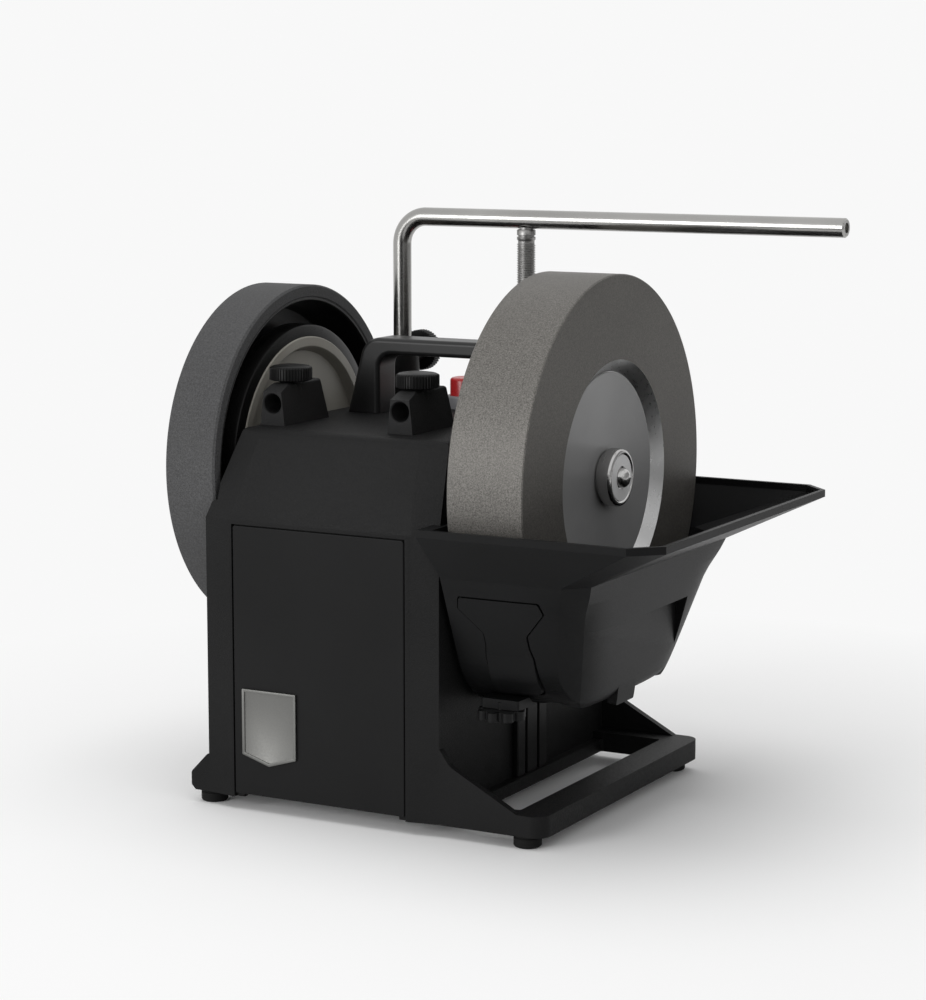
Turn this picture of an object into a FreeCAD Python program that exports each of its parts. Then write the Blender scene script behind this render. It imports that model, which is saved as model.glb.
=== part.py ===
import FreeCAD, Part
import math
import os
from FreeCAD import Vector

# Frame: X runs along the shaft, Y from front to back, Z up from the bench; sizes in mm

# Shaft line and wheels
axis_height = 209.0
shaft_radius = 6.0
shaft_fit = 0.05
wheel_radius = 125.0
wheel_width = 50.0
wheel_face_x = 70.0
wheel_recess_radius = 72.5
wheel_bevel_width = 7.5
wheel_recess_depth = 7.0
face_disc_thickness = 1.0
flange_radius = 17.0
flange_thickness = 4.0
lock_nut_radius = 18.0
lock_nut_reach = 5.0
shaft_end_reach = 4.5
honing_radius = 110.7
honing_width = 36.5
honing_rim_wall = 8.2
honing_web = 6.0
drive_disc_radius = 77.0
drive_disc_rim = 7.0
drive_disc_width = 17.0
drive_disc_recess = 6.0
drive_hole_radius = 2.2
drive_hole_circle = 52.0
tyre_thickness = 8.0
tyre_width = 15.0
hub_radius = 16.0
bush_radius = 14.0
bush_flange = 3.0
bush_nose = 11.0
bush_boss_wall = 5.0
washer_thickness = 2.0
honing_nut_length = 7.8
honing_nut_radius = 10.5

# Housing
foot_height = 8.0
wheel_gap = 10.5
housing_width = 165.5
housing_half_depth = 118.0
housing_wall = 3.5
top_height = 238.5
top_half_depth = 100.0
fold_height = 183.0
fold_radius = 28.0
top_fold_radius = 9.0
left_lean = 18.0
right_lean = 2.5
facet_width = 19.0
facet_back = 3.0
facet_shift = 14.0
wheel_recess_gap = 2.3
recess_depth = 7.0
honing_gap = 3.5
panel_left_margin = 21.5
panel_right_margin = 22.5
panel_top = 180.0
panel_bottom = 10.5
panel_thickness = 2.5
panel_gap = 0.8
panel_land = 5.0
panel_rib = 3.0
vent_rows = 6
vent_pitch = 9.0
vent_height = 4.0
vent_margin = 30.0
vent_drop = 50.0
base_top = 21.0
base_plate_thickness = 2.0
outrigger_reach = 70.0
outrigger_bar = 21.0
front_bar = 11.4
rear_bar = 18.0
corner_radius = 10.0
ledge_width = 6.0
ledge_height = 8.0
gusset_thickness = 5.0
gusset_foot = 4.0
gusset_reach = 7.0
gusset_rise = 24.0
gusset_top = 34.0
left_lug_reach = 13.5
left_lug_depth = 24.0
left_lug_edge = 3.0
left_lug_rise = 12.5
foot_radius = 8.5
foot_inset = 10.5
foot_inset_right = 15.5
foot_edge = 1.0
foot_recess = 3.0
foot_screw_head = 2.0
foot_screw_reach = 8.0
foot_fit = 0.2
foot_screw_radius = 2.5

# Support sleeves, bar and knobs
bar_radius = 6.0
sleeve_fit = 0.1
leg_spacing = 91.4
rear_leg_left_x = -109.4
leg_y = 50.0
bar_rise = 29.0
bar_reach = 308.2
bend_radius = 18.0
leg_end_height = 244.0
leg_neck_radius = 4.5
leg_neck_length = 7.0
end_recess_depth = 3.0
rear_sleeve_radius = 10.5
rear_knob_gap = 21.0
sleeve_boss_radius = 7.0
sleeve_boss_reach = 20.0
sleeve_pad_width = 34.0
sleeve_pad_depth = 26.0
sleeve_pad_height = 4.0
sleeve_pad_corner = 8.0
front_sleeve_left_x = -126.6
front_sleeve_y = -83.0
front_sleeve_length = 53.0
front_sleeve_nose = 10.5
front_sleeve_tail = 6.0
bore_lead = 0.7
front_sleeve_bore_height = 252.0
front_sleeve_base = 17.6
front_sleeve_top = 12.0
front_sleeve_face_top = 259.4
front_sleeve_ridge = 264.0
front_knob_back = 22.0
knob_radius = 13.5
knob_height = 10.2
knob_neck_radius = 5.0
knob_neck = 0.5
stud_radius = 3.0
stud_clearance = 0.3
nut_radius = 15.0
nut_height = 10.0
running_gap = 0.3

# Handle
handle_left_x = -122.6
handle_right_x = 1.4
handle_foot = 23.5
handle_top = 287.5
handle_bar = 10.5
handle_depth = 24.0
handle_front_y = 0.0
handle_shoulder = 13.0
handle_radius = 14.0
handle_inner_radius = 9.0
handle_edge = 3.0
handle_screw_reach = 11.0
screw_head_radius = 5.0
screw_head = 3.0

# Switch and supply
switch_x = -65.0
switch_y = 56.0
collar_radius = 13.0
collar_height = 8.5
collar_taper = 1.0
button_radius = 10.5
button_height = 12.0
button_travel = 3.0
button_step = 4.0
switch_body_size = 26.0
switch_body_depth = 24.0
gland_height = 40.0
gland_x = -110.0
gland_radius = 9.0
gland_bore = 3.6
gland_nut_length = 6.0
gland_dome_length = 7.0
gland_dome_step = 2.2
gland_barrel_length = 8.0
gland_barrel_step = 2.0

# Motor and friction drive
motor_y = 25.0
motor_radius = 50.0
motor_core_length = 62.0
motor_bell_length = 24.0
motor_left_x = -138.0
spindle_radius = 4.5
spindle_gap = 0.3
spindle_room = 6.0
motor_shaft_radius = 5.0
rotor_radius = 28.0
air_gap = 0.6
bearing_radius = 13.0
bearing_width = 9.0
bell_wall = 4.0
bell_shoulder = 6.0
bell_shoulder_drop = 8.0
bell_floor = 5.0
bell_floor_drop = 12.0
rotor_tail = 16.0
fan_gap = 3.0
fan_width = 12.0
fan_hub = 14.0
fan_radius = 38.0
fan_blade = 2.0
fan_blades = 7
cradle_inset = 8.0
cradle_band = 3.0
cradle_tab = 4.0
hinge_y = -58.0
hinge_drop = 22.0
hinge_pin_radius = 4.0
hinge_eye = 9.0
hinge_ear = 4.0
hinge_foot = 18.0
hinge_plate = 3.0
spring_radius = 9.0
spring_wire = 2.0
spring_y = 88.0
capacitor_radius = 17.0
capacitor_length = 46.0
capacitor_left_x = -48.0
capacitor_clamp_width = 12.0
capacitor_y = -82.0
capacitor_z = 52.0
clamp_band = 2.0
clamp_leg = 6.0
clamp_foot = 28.0
terminal_left_x = -128.0
terminal_size = 16.0
terminal_back = 24.0
terminal_pitch = 9.0
terminal_count = 4
terminal_well = 2.4

# Trough
trough_gap = 4.5
trough_wall = 3.0
rim_gap = 0.5
rim_band = 4.5
crease_height = 161.0
trough_bottom = 72.0
rim_half_length = 140.0
crease_half_length = 122.0
rim_right_x = 160.5
rim_left_ear = 6.0
crease_right_x = 107.0
front_corner = 13.0
rear_corner = 34.0
rim_corner = 17.0
bottom_half_length = 84.2
bottom_round = 60.0
right_lean_in = 22.6
right_round = 15.0
grip_height = 129.0
grip_front_y = -92.0
grip_rear_y = 48.0
grip_depth = 8.0
trough_clear = 1.5
tab_front_y = -28.0
tab_rear_y = -3.0
tab_drop = 2.0
tab_rise = 16.0
tab_half = 3.0
rail_half_width = 20.0
rail_thickness = 4.0
rail_top = 150.0
groove_inner = 6.7
groove_width = 3.0
groove_depth = 2.6
rib_fit = 0.3
latch_left_x = 22.0
latch_width = 56.0
latch_neck = 28.0
latch_top = 149.0
latch_shoulder = 142.0
latch_neck_top = 127.0
latch_foot = 31.0
latch_foot_top = 112.0
latch_bulge = 1.6
latch_bottom = 87.0
latch_back_y = -60.0
latch_proud = 0.6
latch_gap = 0.8
pocket_depth = 1.8
lift_block_left = 27.0
lift_block_width = 25.6
lift_block_forward = 10.8
lift_block_height = 5.9
lift_block_room = 2.4
lift_knob_back = 3.0
lift_knob_radius = 15.0
lift_knob_height = 5.6
lift_knob_lobes = 8
lift_lobe_radius = 3.6
lift_stud = 4.0

# Badge plate
badge_left_x = -128.0
badge_width = 39.0
badge_top = 78.0
badge_shoulder = 36.5
badge_tip = 30.5
badge_thickness = 1.6
badge_rim = 1.8

# Places that follow from the sizes above
wheel_inner_x = wheel_face_x - wheel_width
wall_right = wheel_inner_x - wheel_gap
wall_left = wall_right - housing_width
recess_floor_x = wall_left + recess_depth
honing_face_x = recess_floor_x - honing_gap
honing_outer_x = honing_face_x - honing_width
base_front = housing_half_depth - facet_back
cavity_half_depth = base_front - housing_wall
cavity_left = recess_floor_x + housing_wall
cavity_right = wall_right - housing_wall
bush_left_seat = wall_left + left_lean + 2 * housing_wall
bush_right_seat = cavity_right - right_lean
handle_screw_y = handle_front_y + handle_depth / 2
panel_left = wall_left + panel_left_margin
panel_right = wall_right - panel_right_margin
outrigger_right = wall_right + outrigger_reach
tyre_radius = drive_disc_radius + tyre_thickness
drive_distance = tyre_radius + spindle_gap + spindle_radius
motor_z = axis_height - math.sqrt(drive_distance ** 2 - motor_y ** 2)
motor_right_x = motor_left_x + motor_core_length + 2 * motor_bell_length
hinge_z = motor_z - hinge_drop
cradle_left = motor_left_x + motor_bell_length + cradle_inset
cradle_right = cradle_left + motor_core_length - 2 * cradle_inset
cradle_tab_bottom = motor_z - cradle_tab
base_plate_top = panel_bottom + base_plate_thickness
trough_left = wall_right + trough_gap
rim_height = axis_height - flange_radius - rim_gap
side_lean = crease_half_length - bottom_half_length
floor_right_x = crease_right_x - right_lean_in
lift_block_front = -bottom_half_length - lift_block_forward
lift_block_top = latch_bottom - lift_block_room
lift_block_bottom = lift_block_top - lift_block_height
lift_knob_x = lift_block_left + lift_block_width / 2
lift_knob_y = lift_block_front + lift_knob_back
bar_height = axis_height + wheel_radius + bar_rise
rear_knob_height = top_height + knob_radius + rear_knob_gap
rear_sleeve_top = rear_knob_height + sleeve_boss_radius
bar_left_x = rear_leg_left_x
threaded_leg_x = rear_leg_left_x + leg_spacing
front_sleeve_xs = [front_sleeve_left_x, front_sleeve_left_x + leg_spacing]
rear_leg_xs = [bar_left_x, threaded_leg_x]
foot_places = [
    (wall_left - left_lug_reach + foot_inset, -base_front + foot_inset),
    (wall_left - left_lug_reach + foot_inset, base_front - foot_inset),
    (outrigger_right - foot_inset_right, -base_front + foot_inset),
    (outrigger_right - foot_inset_right, base_front - foot_inset),
]


# Shape helpers
def block(x0, x1, y0, y1, z0, z1):
    return Part.makeBox(x1 - x0, y1 - y0, z1 - z0, Vector(x0, y0, z0))


def rod_x(radius, x0, x1, y, z):
    return Part.makeCylinder(radius, x1 - x0, Vector(x0, y, z), Vector(1, 0, 0))


def rod_y(radius, x, y0, y1, z):
    return Part.makeCylinder(radius, y1 - y0, Vector(x, y0, z), Vector(0, 1, 0))


def rod_z(radius, x, y, z0, z1):
    return Part.makeCylinder(radius, z1 - z0, Vector(x, y, z0))


def face_of(points):
    return Part.Face(Part.makePolygon(points + [points[0]]))


# Face of a polygon whose corners are (point, radius) pairs
def rounded_face(corners):
    edges = []
    starts = []
    ends = []
    count = len(corners)
    for i, (point, radius) in enumerate(corners):
        before = (corners[i - 1][0] - point).normalize()
        after = (corners[(i + 1) % count][0] - point).normalize()
        half = before.getAngle(after) / 2
        reach = radius / math.tan(half) if radius else 0
        starts.append(point + before * reach)
        ends.append(point + after * reach)
        if radius:
            middle = (before + after).normalize()
            tip = point + middle * (radius / math.sin(half) - radius)
            edges.append(Part.Arc(starts[i], tip, ends[i]).toShape())
    for i in range(count):
        following = (i + 1) % count
        if (ends[i] - starts[following]).Length > 1e-6:
            edges.append(Part.LineSegment(ends[i], starts[following]).toShape())
    return Part.Face(Part.Wire(Part.__sortEdges__(edges)))


def prism_x(points, x0, x1, radii=None):
    radii = radii or [0] * len(points)
    face = rounded_face([(Vector(x0, y, z), r) for (y, z), r in zip(points, radii)])
    return face.extrude(Vector(x1 - x0, 0, 0))


def prism_y(points, y0, y1, radii=None):
    radii = radii or [0] * len(points)
    face = rounded_face([(Vector(x, y0, z), r) for (x, z), r in zip(points, radii)])
    return face.extrude(Vector(0, y1 - y0, 0))


def prism_z(points, z0, z1, radii=None):
    radii = radii or [0] * len(points)
    face = rounded_face([(Vector(x, y, z0), r) for (x, y), r in zip(points, radii)])
    return face.extrude(Vector(0, 0, z1 - z0))


def spin_x(profile, y=0.0, z=axis_height):
    face = face_of([Vector(x, y, z + radius) for x, radius in profile])
    return face.revolve(Vector(0, y, z), Vector(1, 0, 0), 360)


def spin_z(profile, x=0.0, y=0.0):
    face = face_of([Vector(x + radius, y, z) for radius, z in profile])
    return face.revolve(Vector(x, y, 0), Vector(0, 0, 1), 360)


# Polygon moved inwards by a distance; its points run anticlockwise
def inset_polygon(points, distance):
    lines = []
    count = len(points)
    for i in range(count):
        (ax, ay), (bx, by) = points[i], points[(i + 1) % count]
        length = math.hypot(bx - ax, by - ay)
        dx, dy = (bx - ax) / length, (by - ay) / length
        lines.append((ax - dy * distance, ay + dx * distance, dx, dy))
    moved = []
    for i in range(count):
        px, py, dx, dy = lines[i - 1]
        qx, qy, ex, ey = lines[i]
        along = ((qx - px) * ey - (qy - py) * ex) / (dx * ey - dy * ex)
        moved.append((px + dx * along, py + dy * along))
    return moved


def fuse(shapes):
    whole = shapes[0].multiFuse(shapes[1:]) if len(shapes) > 1 else shapes[0]
    return whole.removeSplitter()


def cut(shape, tools):
    return shape.cut(Part.makeCompound(tools))


# Housing: side profile met by front profile, with facets along the upright corners
def housing_form():
    front_back = [
        (-housing_half_depth, foot_height), (housing_half_depth, foot_height),
        (housing_half_depth, fold_height), (top_half_depth, top_height),
        (-top_half_depth, top_height), (-housing_half_depth, fold_height),
    ]
    side = prism_x(front_back, wall_left, wall_right,
                   [0, 0, fold_radius, top_fold_radius, top_fold_radius, fold_radius])
    left_right = [
        (wall_left, foot_height), (wall_right, foot_height), (wall_right, fold_height),
        (wall_right - right_lean, top_height), (wall_left + left_lean, top_height),
        (wall_left, fold_height),
    ]
    front = prism_y(left_right, -housing_half_depth, housing_half_depth,
                    [0, 0, 0, top_fold_radius / 2, top_fold_radius / 2, 0])
    form = side.common(front)
    return cut(form, facet_wedges())


def facet_wedges():
    slope = Vector(facet_shift, housing_half_depth - top_half_depth, top_height - fold_height)
    wedges = []
    for edge_x, sign_x, shift in ((wall_left, 1, 1.0), (wall_right, -1, right_lean / left_lean)):
        for sign_y in (-1, 1):
            inner = Vector(edge_x + sign_x * facet_width, sign_y * housing_half_depth, fold_height)
            outer = Vector(edge_x, sign_y * base_front, fold_height)
            line = outer - inner
            start = inner - line * 0.02
            end = inner + line * 1.6
            away = Vector(end.x, sign_y * housing_half_depth * 1.1, fold_height)
            beside = Vector(start.x, away.y, fold_height)
            face = face_of([start, end, away, beside])
            wedges.append(face.extrude(Vector(0, 0, foot_height - fold_height)))
            rise = Vector(sign_x * slope.x * shift, -sign_y * slope.y, slope.z) * 1.3
            wedges.append(face.extrude(rise))
    return wedges


def housing_cavity():
    rise = top_height - housing_wall
    inner_fold = fold_height - housing_wall
    front_back = [
        (-cavity_half_depth, foot_height), (cavity_half_depth, foot_height),
        (cavity_half_depth, inner_fold), (top_half_depth - 2 * housing_wall, rise),
        (-top_half_depth + 2 * housing_wall, rise), (-cavity_half_depth, inner_fold),
    ]
    side = prism_x(front_back, cavity_left, cavity_right)
    left_right = [
        (cavity_left, foot_height), (cavity_right, foot_height), (cavity_right, fold_height),
        (cavity_right - right_lean, rise), (wall_left + left_lean + 2 * housing_wall, rise),
        (cavity_left, fold_height),
    ]
    front = prism_y(left_right, -cavity_half_depth, cavity_half_depth)
    return side.common(front)


def base_frame():
    outline = [
        (cavity_right, -base_front), (outrigger_right, -base_front),
        (outrigger_right, base_front), (cavity_right, base_front),
    ]
    slab = prism_z(outline, foot_height, base_top, [0, corner_radius, corner_radius, 0])
    window = [
        (wall_right + ledge_width, -base_front + front_bar),
        (outrigger_right - outrigger_bar, -base_front + front_bar),
        (outrigger_right - outrigger_bar, base_front - rear_bar),
        (wall_right + ledge_width, base_front - rear_bar),
    ]
    opening = prism_z(window, foot_height - 1, base_top + 1, [2, 2, 2, 2])
    step = block(wall_right, wall_right + ledge_width + 1, -base_front + front_bar,
                 base_front - rear_bar, foot_height + ledge_height, base_top + 1)
    return cut(slab, [opening, step])


def gussets():
    foot = outrigger_right - corner_radius - gusset_foot
    outline = [
        (cavity_right, foot_height + gusset_foot), (foot, foot_height + gusset_foot),
        (foot, base_top - gusset_foot / 2), (wall_right + gusset_reach, base_top + gusset_rise),
        (wall_right, base_top + gusset_top), (cavity_right, base_top + gusset_top),
    ]
    plates = []
    for side in (-1, 1):
        start = -base_front if side < 0 else base_front - gusset_thickness
        plates.append(prism_y(outline, start, start + gusset_thickness, [0, 0, 3, 10, 4, 0]))
    return plates


def left_lugs():
    outer = wall_left - left_lug_reach
    outline = [
        (cavity_left, foot_height), (outer + left_lug_edge, foot_height),
        (outer, foot_height + left_lug_edge),
        (outer, base_top - left_lug_edge / 2), (wall_left, base_top + left_lug_rise),
        (cavity_left, base_top + left_lug_rise),
    ]
    lugs = []
    for start in (-base_front, base_front - left_lug_depth):
        lugs.append(prism_y(outline, start, start + left_lug_depth, [0, 0, 2, 3, 9, 0]))
    return lugs


def panel_cuts():
    cuts = []
    for front, back in ((-housing_half_depth - 1, -housing_half_depth + panel_thickness),
                        (housing_half_depth - panel_thickness, housing_half_depth + 1)):
        cuts.append(block(panel_left - panel_gap, panel_right + panel_gap, front, back,
                          foot_height - 1, panel_top + panel_gap))
    cuts.append(block(panel_left + panel_land, panel_right - panel_land, -housing_half_depth - 1,
                      housing_half_depth + 1, foot_height - 1, panel_top - panel_land))
    return cuts


def shaft_bores():
    spindle = rod_x(spindle_radius + spindle_room, wall_left - 1, cavity_left + 1, motor_y, motor_z)
    left = rod_x(bush_radius, wall_left - 1, bush_left_seat + 1, 0, axis_height)
    right = rod_x(bush_radius, bush_right_seat - 1, wall_right + 1, 0, axis_height)
    return [spindle, left, right]


def bush_bosses():
    radius = bush_radius + bush_boss_wall
    return [rod_x(radius, recess_floor_x, bush_left_seat, 0, axis_height),
            rod_x(radius, bush_right_seat, wall_right, 0, axis_height)]


def housing():
    solid = fuse([housing_form(), base_frame()] + gussets() + left_lugs())
    honing_recess = rod_x(honing_radius + wheel_recess_gap, wall_left - left_lug_reach,
                          recess_floor_x, 0, axis_height)
    shell = cut(solid, [housing_cavity(), honing_recess])
    cuts = panel_cuts() + shaft_bores()
    inside = top_height - 2 * housing_wall
    for leg_x in rear_leg_xs:
        cuts.append(rod_z(bar_radius + 1, leg_x, leg_y, inside, top_height + 1))
    cuts.append(rod_z(button_radius - button_step + 1, switch_x, switch_y, inside, top_height + 1))
    for x, y in foot_places:
        cuts.append(rod_z(foot_screw_radius, x, y, foot_height - 1, foot_height + foot_screw_reach + 1))
    for x in handle_screw_xs():
        cuts.append(rod_z(foot_screw_radius, x, handle_screw_y, inside, top_height + 1))
    return cut(fuse([shell] + bush_bosses()), cuts)


def panel(front):
    face_y = -housing_half_depth if front else housing_half_depth - panel_thickness
    plate = prism_y([(panel_left, panel_bottom), (panel_right, panel_bottom),
                     (panel_right, panel_top), (panel_left, panel_top)],
                    face_y, face_y + panel_thickness, [0, 0, 2, 2])
    inner = face_y + panel_thickness if front else face_y - panel_rib
    inset = panel_land + panel_gap
    frame = block(panel_left + inset, panel_right - inset, inner, inner + panel_rib,
                  panel_bottom + inset, panel_top - panel_land - inset)
    open_middle = block(panel_left + 2 * inset, panel_right - 2 * inset, inner - 1,
                        inner + panel_rib + 1, panel_bottom + 2 * inset, panel_top - panel_land - 2 * inset)
    return fuse([plate, frame.cut(open_middle)])


def rear_panel():
    plate = panel(False)
    inside = housing_half_depth - panel_thickness - panel_rib - 1
    left = panel_left + vent_margin
    right = panel_right - vent_margin
    slots = []
    for row in range(vent_rows):
        low = panel_top - vent_drop - row * vent_pitch
        high = low + vent_height
        slots.append(prism_y([(left, low), (right, low), (right, high), (left, high)],
                             inside, housing_half_depth + 1, [0.48 * vent_height] * 4))
    slots.append(rod_y(gland_radius - 2, gland_x, inside, housing_half_depth + 1, gland_height))
    return cut(plate, slots)


def base_plate():
    outline = [
        (cavity_left, -cavity_half_depth), (cavity_right, -cavity_half_depth),
        (cavity_right, cavity_half_depth), (cavity_left, cavity_half_depth),
    ]
    return prism_z(outline, panel_bottom, base_plate_top, [3] * 4)


def badge_plate():
    right = badge_left_x + badge_width
    outline = [
        (badge_left_x, badge_shoulder), (badge_left_x + badge_width / 2, badge_tip),
        (right, badge_shoulder), (right, badge_top), (badge_left_x, badge_top),
    ]
    back = -housing_half_depth
    plate = prism_y(outline, back - badge_thickness, back, [0.6] * 5)
    field = prism_y(inset_polygon(outline, badge_rim), back - badge_thickness - 1,
                    back - badge_thickness / 2, [0.4] * 5)
    return plate.cut(field)


def rubber_feet():
    feet = []
    for x, y in foot_places:
        bore = foot_screw_radius + foot_fit
        well = foot_screw_radius + foot_screw_head + 0.5
        profile = [(bore, foot_recess), (well, foot_recess), (well, 0), (foot_radius - foot_edge, 0),
                   (foot_radius, foot_edge), (foot_radius, foot_height), (bore, foot_height)]
        feet.append(spin_z(profile, x, y))
    return Part.makeCompound(feet)


def foot_screws():
    screws = []
    for x, y in foot_places:
        head = foot_screw_radius + foot_screw_head
        tip = foot_height + foot_screw_reach
        profile = [(0, 0.2 * foot_recess), (head, 0.2 * foot_recess), (head, foot_recess),
                   (foot_screw_radius, foot_recess), (foot_screw_radius, tip), (0, tip)]
        screws.append(spin_z(profile, x, y))
    return Part.makeCompound(screws)


# Carrying handle: a bridge with raked outer sides
def handle():
    right_top = handle_right_x - handle_shoulder
    left_top = handle_left_x + handle_shoulder
    outline = [
        (handle_left_x, top_height), (handle_left_x + handle_foot, top_height),
        (handle_left_x + handle_foot, handle_top - handle_bar),
        (handle_right_x - handle_foot, handle_top - handle_bar),
        (handle_right_x - handle_foot, top_height), (handle_right_x, top_height),
        (right_top, handle_top), (left_top, handle_top),
    ]
    radii = [0, 0, handle_inner_radius, handle_inner_radius, 0, 0, handle_radius, handle_radius]
    bridge = prism_y(outline, handle_front_y, handle_front_y + handle_depth, radii)
    long_edges = [edge for edge in bridge.Edges if edge.BoundBox.ZMin > top_height + 1
                  and edge.BoundBox.YLength < 0.01]
    bridge = bridge.makeFillet(handle_edge, long_edges)
    holes = []
    for x in handle_screw_xs():
        holes.append(rod_z(foot_screw_radius, x, handle_screw_y, top_height - 1,
                           top_height + handle_screw_reach + 1))
    return cut(bridge, holes)


def handle_screw_xs():
    return [handle_left_x + handle_foot / 2, handle_right_x - handle_foot / 2]


def handle_screws():
    inside = top_height - housing_wall
    screws = []
    for x in handle_screw_xs():
        tip = top_height + handle_screw_reach
        profile = [(0, inside - screw_head), (screw_head_radius, inside - screw_head),
                   (screw_head_radius, inside), (foot_screw_radius, inside), (foot_screw_radius, tip),
                   (0, tip)]
        screws.append(spin_z(profile, x, handle_screw_y))
    return Part.makeCompound(screws)


# Horizontal sleeves on the front of the top, bored along Y
def front_sleeve(x):
    rear_y = front_sleeve_y + front_sleeve_length
    section = [
        (x - front_sleeve_base / 2, top_height), (x + front_sleeve_base / 2, top_height),
        (x + front_sleeve_top / 2, front_sleeve_ridge), (x - front_sleeve_top / 2, front_sleeve_ridge),
    ]
    body = prism_y(section, front_sleeve_y, rear_y, [0, 0, 2, 2])
    side = [
        (front_sleeve_y, top_height), (rear_y, top_height), (rear_y - front_sleeve_tail, front_sleeve_ridge),
        (front_sleeve_y + front_sleeve_nose, front_sleeve_ridge), (front_sleeve_y, front_sleeve_face_top),
    ]
    keep = prism_x(side, x - front_sleeve_base, x + front_sleeve_base, [0, 0, 1.5, 2, 0])
    knob_y = front_sleeve_y + front_knob_back
    boss = rod_z(sleeve_boss_radius, x, knob_y, top_height, front_sleeve_ridge)
    sleeve = fuse([body.common(keep), boss])
    bore_radius = bar_radius + sleeve_fit
    bore = rod_y(bore_radius, x, front_sleeve_y - 1, rear_y + 1, front_sleeve_bore_height)
    lead = Part.makeCone(bore_radius + bore_lead, bore_radius, bore_lead,
                         Vector(x, front_sleeve_y, front_sleeve_bore_height), Vector(0, 1, 0))
    stud_hole = rod_z(stud_radius + sleeve_fit, x, knob_y, front_sleeve_bore_height, front_sleeve_ridge + 1)
    return cut(sleeve, [bore, lead, stud_hole])


# Upright sleeves at the back, bored along Z, with the knob boss facing backwards
def rear_sleeve(x):
    body = spin_z([(0, top_height), (rear_sleeve_radius + 1.5, top_height),
                   (rear_sleeve_radius, rear_sleeve_top - 1), (rear_sleeve_radius - 1, rear_sleeve_top),
                   (0, rear_sleeve_top)], x, leg_y)
    half_width = sleeve_pad_width / 2
    half_depth = sleeve_pad_depth / 2
    pad = prism_z([(x - half_width, leg_y - half_depth), (x + half_width, leg_y - half_depth),
                   (x + half_width, leg_y + half_depth), (x - half_width, leg_y + half_depth)],
                  top_height, top_height + sleeve_pad_height, [sleeve_pad_corner] * 4)
    boss = rod_y(sleeve_boss_radius, x, leg_y, leg_y + sleeve_boss_reach, rear_knob_height)
    sleeve = fuse([body, pad, boss])
    bore = rod_z(bar_radius + sleeve_fit, x, leg_y, top_height - 1, rear_sleeve_top + 1)
    stud_hole = rod_y(stud_radius + sleeve_fit, x, leg_y, leg_y + sleeve_boss_reach + 1, rear_knob_height)
    return cut(sleeve, [bore, stud_hole])


# Knob standing on its seat at the origin, with the stud pointing down
def lock_knob(stud_length):
    rim = knob_neck + knob_height
    profile = [
        (0, -stud_length), (stud_radius, -stud_length), (stud_radius, 0), (knob_neck_radius, 0),
        (knob_neck_radius, knob_neck), (knob_radius - 0.6, knob_neck), (knob_radius, knob_neck + 0.6),
        (knob_radius - 0.4, rim - 2.2), (knob_radius - 1.6, rim - 1.2), (4, rim), (0, rim),
    ]
    return spin_z(profile)


def front_knob(x):
    bore_wall = front_sleeve_bore_height + bar_radius + sleeve_fit
    stud = front_sleeve_ridge + running_gap - bore_wall - stud_clearance
    knob = lock_knob(stud)
    knob.translate(Vector(x, front_sleeve_y + front_knob_back, front_sleeve_ridge + running_gap))
    return knob


def rear_knob(x):
    seat = leg_y + sleeve_boss_reach + running_gap
    stud = seat - (leg_y + bar_radius + stud_clearance)
    knob = lock_knob(stud)
    knob.rotate(Vector(0, 0, 0), Vector(1, 0, 0), -90)
    knob.translate(Vector(x, seat, rear_knob_height))
    return knob


# Bent support bar with its smooth leg, and the threaded leg under it
def support_bar():
    x0 = bar_left_x
    end_x = x0 + bar_reach
    bend_start = Vector(x0, leg_y, bar_height - bend_radius)
    bend_end = Vector(x0 + bend_radius, leg_y, bar_height)
    leg = rod_z(bar_radius, x0, leg_y, leg_end_height, bend_start.z)
    section = Part.Face(Part.Wire(Part.makeCircle(bar_radius, bend_start, Vector(0, 0, 1))))
    bend = section.revolve(Vector(x0 + bend_radius, leg_y, bend_start.z), Vector(0, 1, 0), 90)
    arm = rod_x(bar_radius, bend_end.x, end_x, leg_y, bar_height)
    bar = fuse([leg, bend, arm])
    rims = [edge for edge in bar.Edges if edge.BoundBox.XMin > end_x - 0.01
            or edge.BoundBox.ZMax < leg_end_height + 0.01]
    bar = bar.makeChamfer(1.0, rims)
    return bar.cut(rod_x(bar_radius / 2, end_x - end_recess_depth, end_x + 1, leg_y, bar_height))


def threaded_leg():
    neck_bottom = bar_height - bar_radius - leg_neck_length
    x = threaded_leg_x
    body = spin_z([(0, leg_end_height), (bar_radius - 1, leg_end_height), (bar_radius, leg_end_height + 1),
                   (bar_radius, neck_bottom - 1), (bar_radius - 1, neck_bottom),
                   (leg_neck_radius, neck_bottom), (leg_neck_radius, bar_height), (0, bar_height)], x, leg_y)
    return body.cut(rod_x(bar_radius, x - 2 * bar_radius, x + 2 * bar_radius, leg_y, bar_height))


def micro_nut():
    bottom = rear_sleeve_top + running_gap
    bore = bar_radius + sleeve_fit
    top = bottom + nut_height
    profile = [(bore, bottom), (nut_radius - 3, bottom), (nut_radius - 2, bottom + 2),
               (nut_radius, bottom + 3), (nut_radius, top - 1), (nut_radius - 1, top), (bore, top)]
    return spin_z(profile, threaded_leg_x, leg_y)


# Shaft line
def main_shaft():
    left_end = honing_outer_x - washer_thickness - honing_nut_length + 2
    right_end = wheel_face_x + lock_nut_reach + shaft_end_reach
    profile = [(left_end, 0), (left_end, shaft_radius - 1), (left_end + 1, shaft_radius),
               (right_end - 2.5, shaft_radius), (right_end - 0.8, shaft_radius - 1.5),
               (right_end, shaft_radius - 3.2), (right_end, 0)]
    return spin_x(profile)


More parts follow.
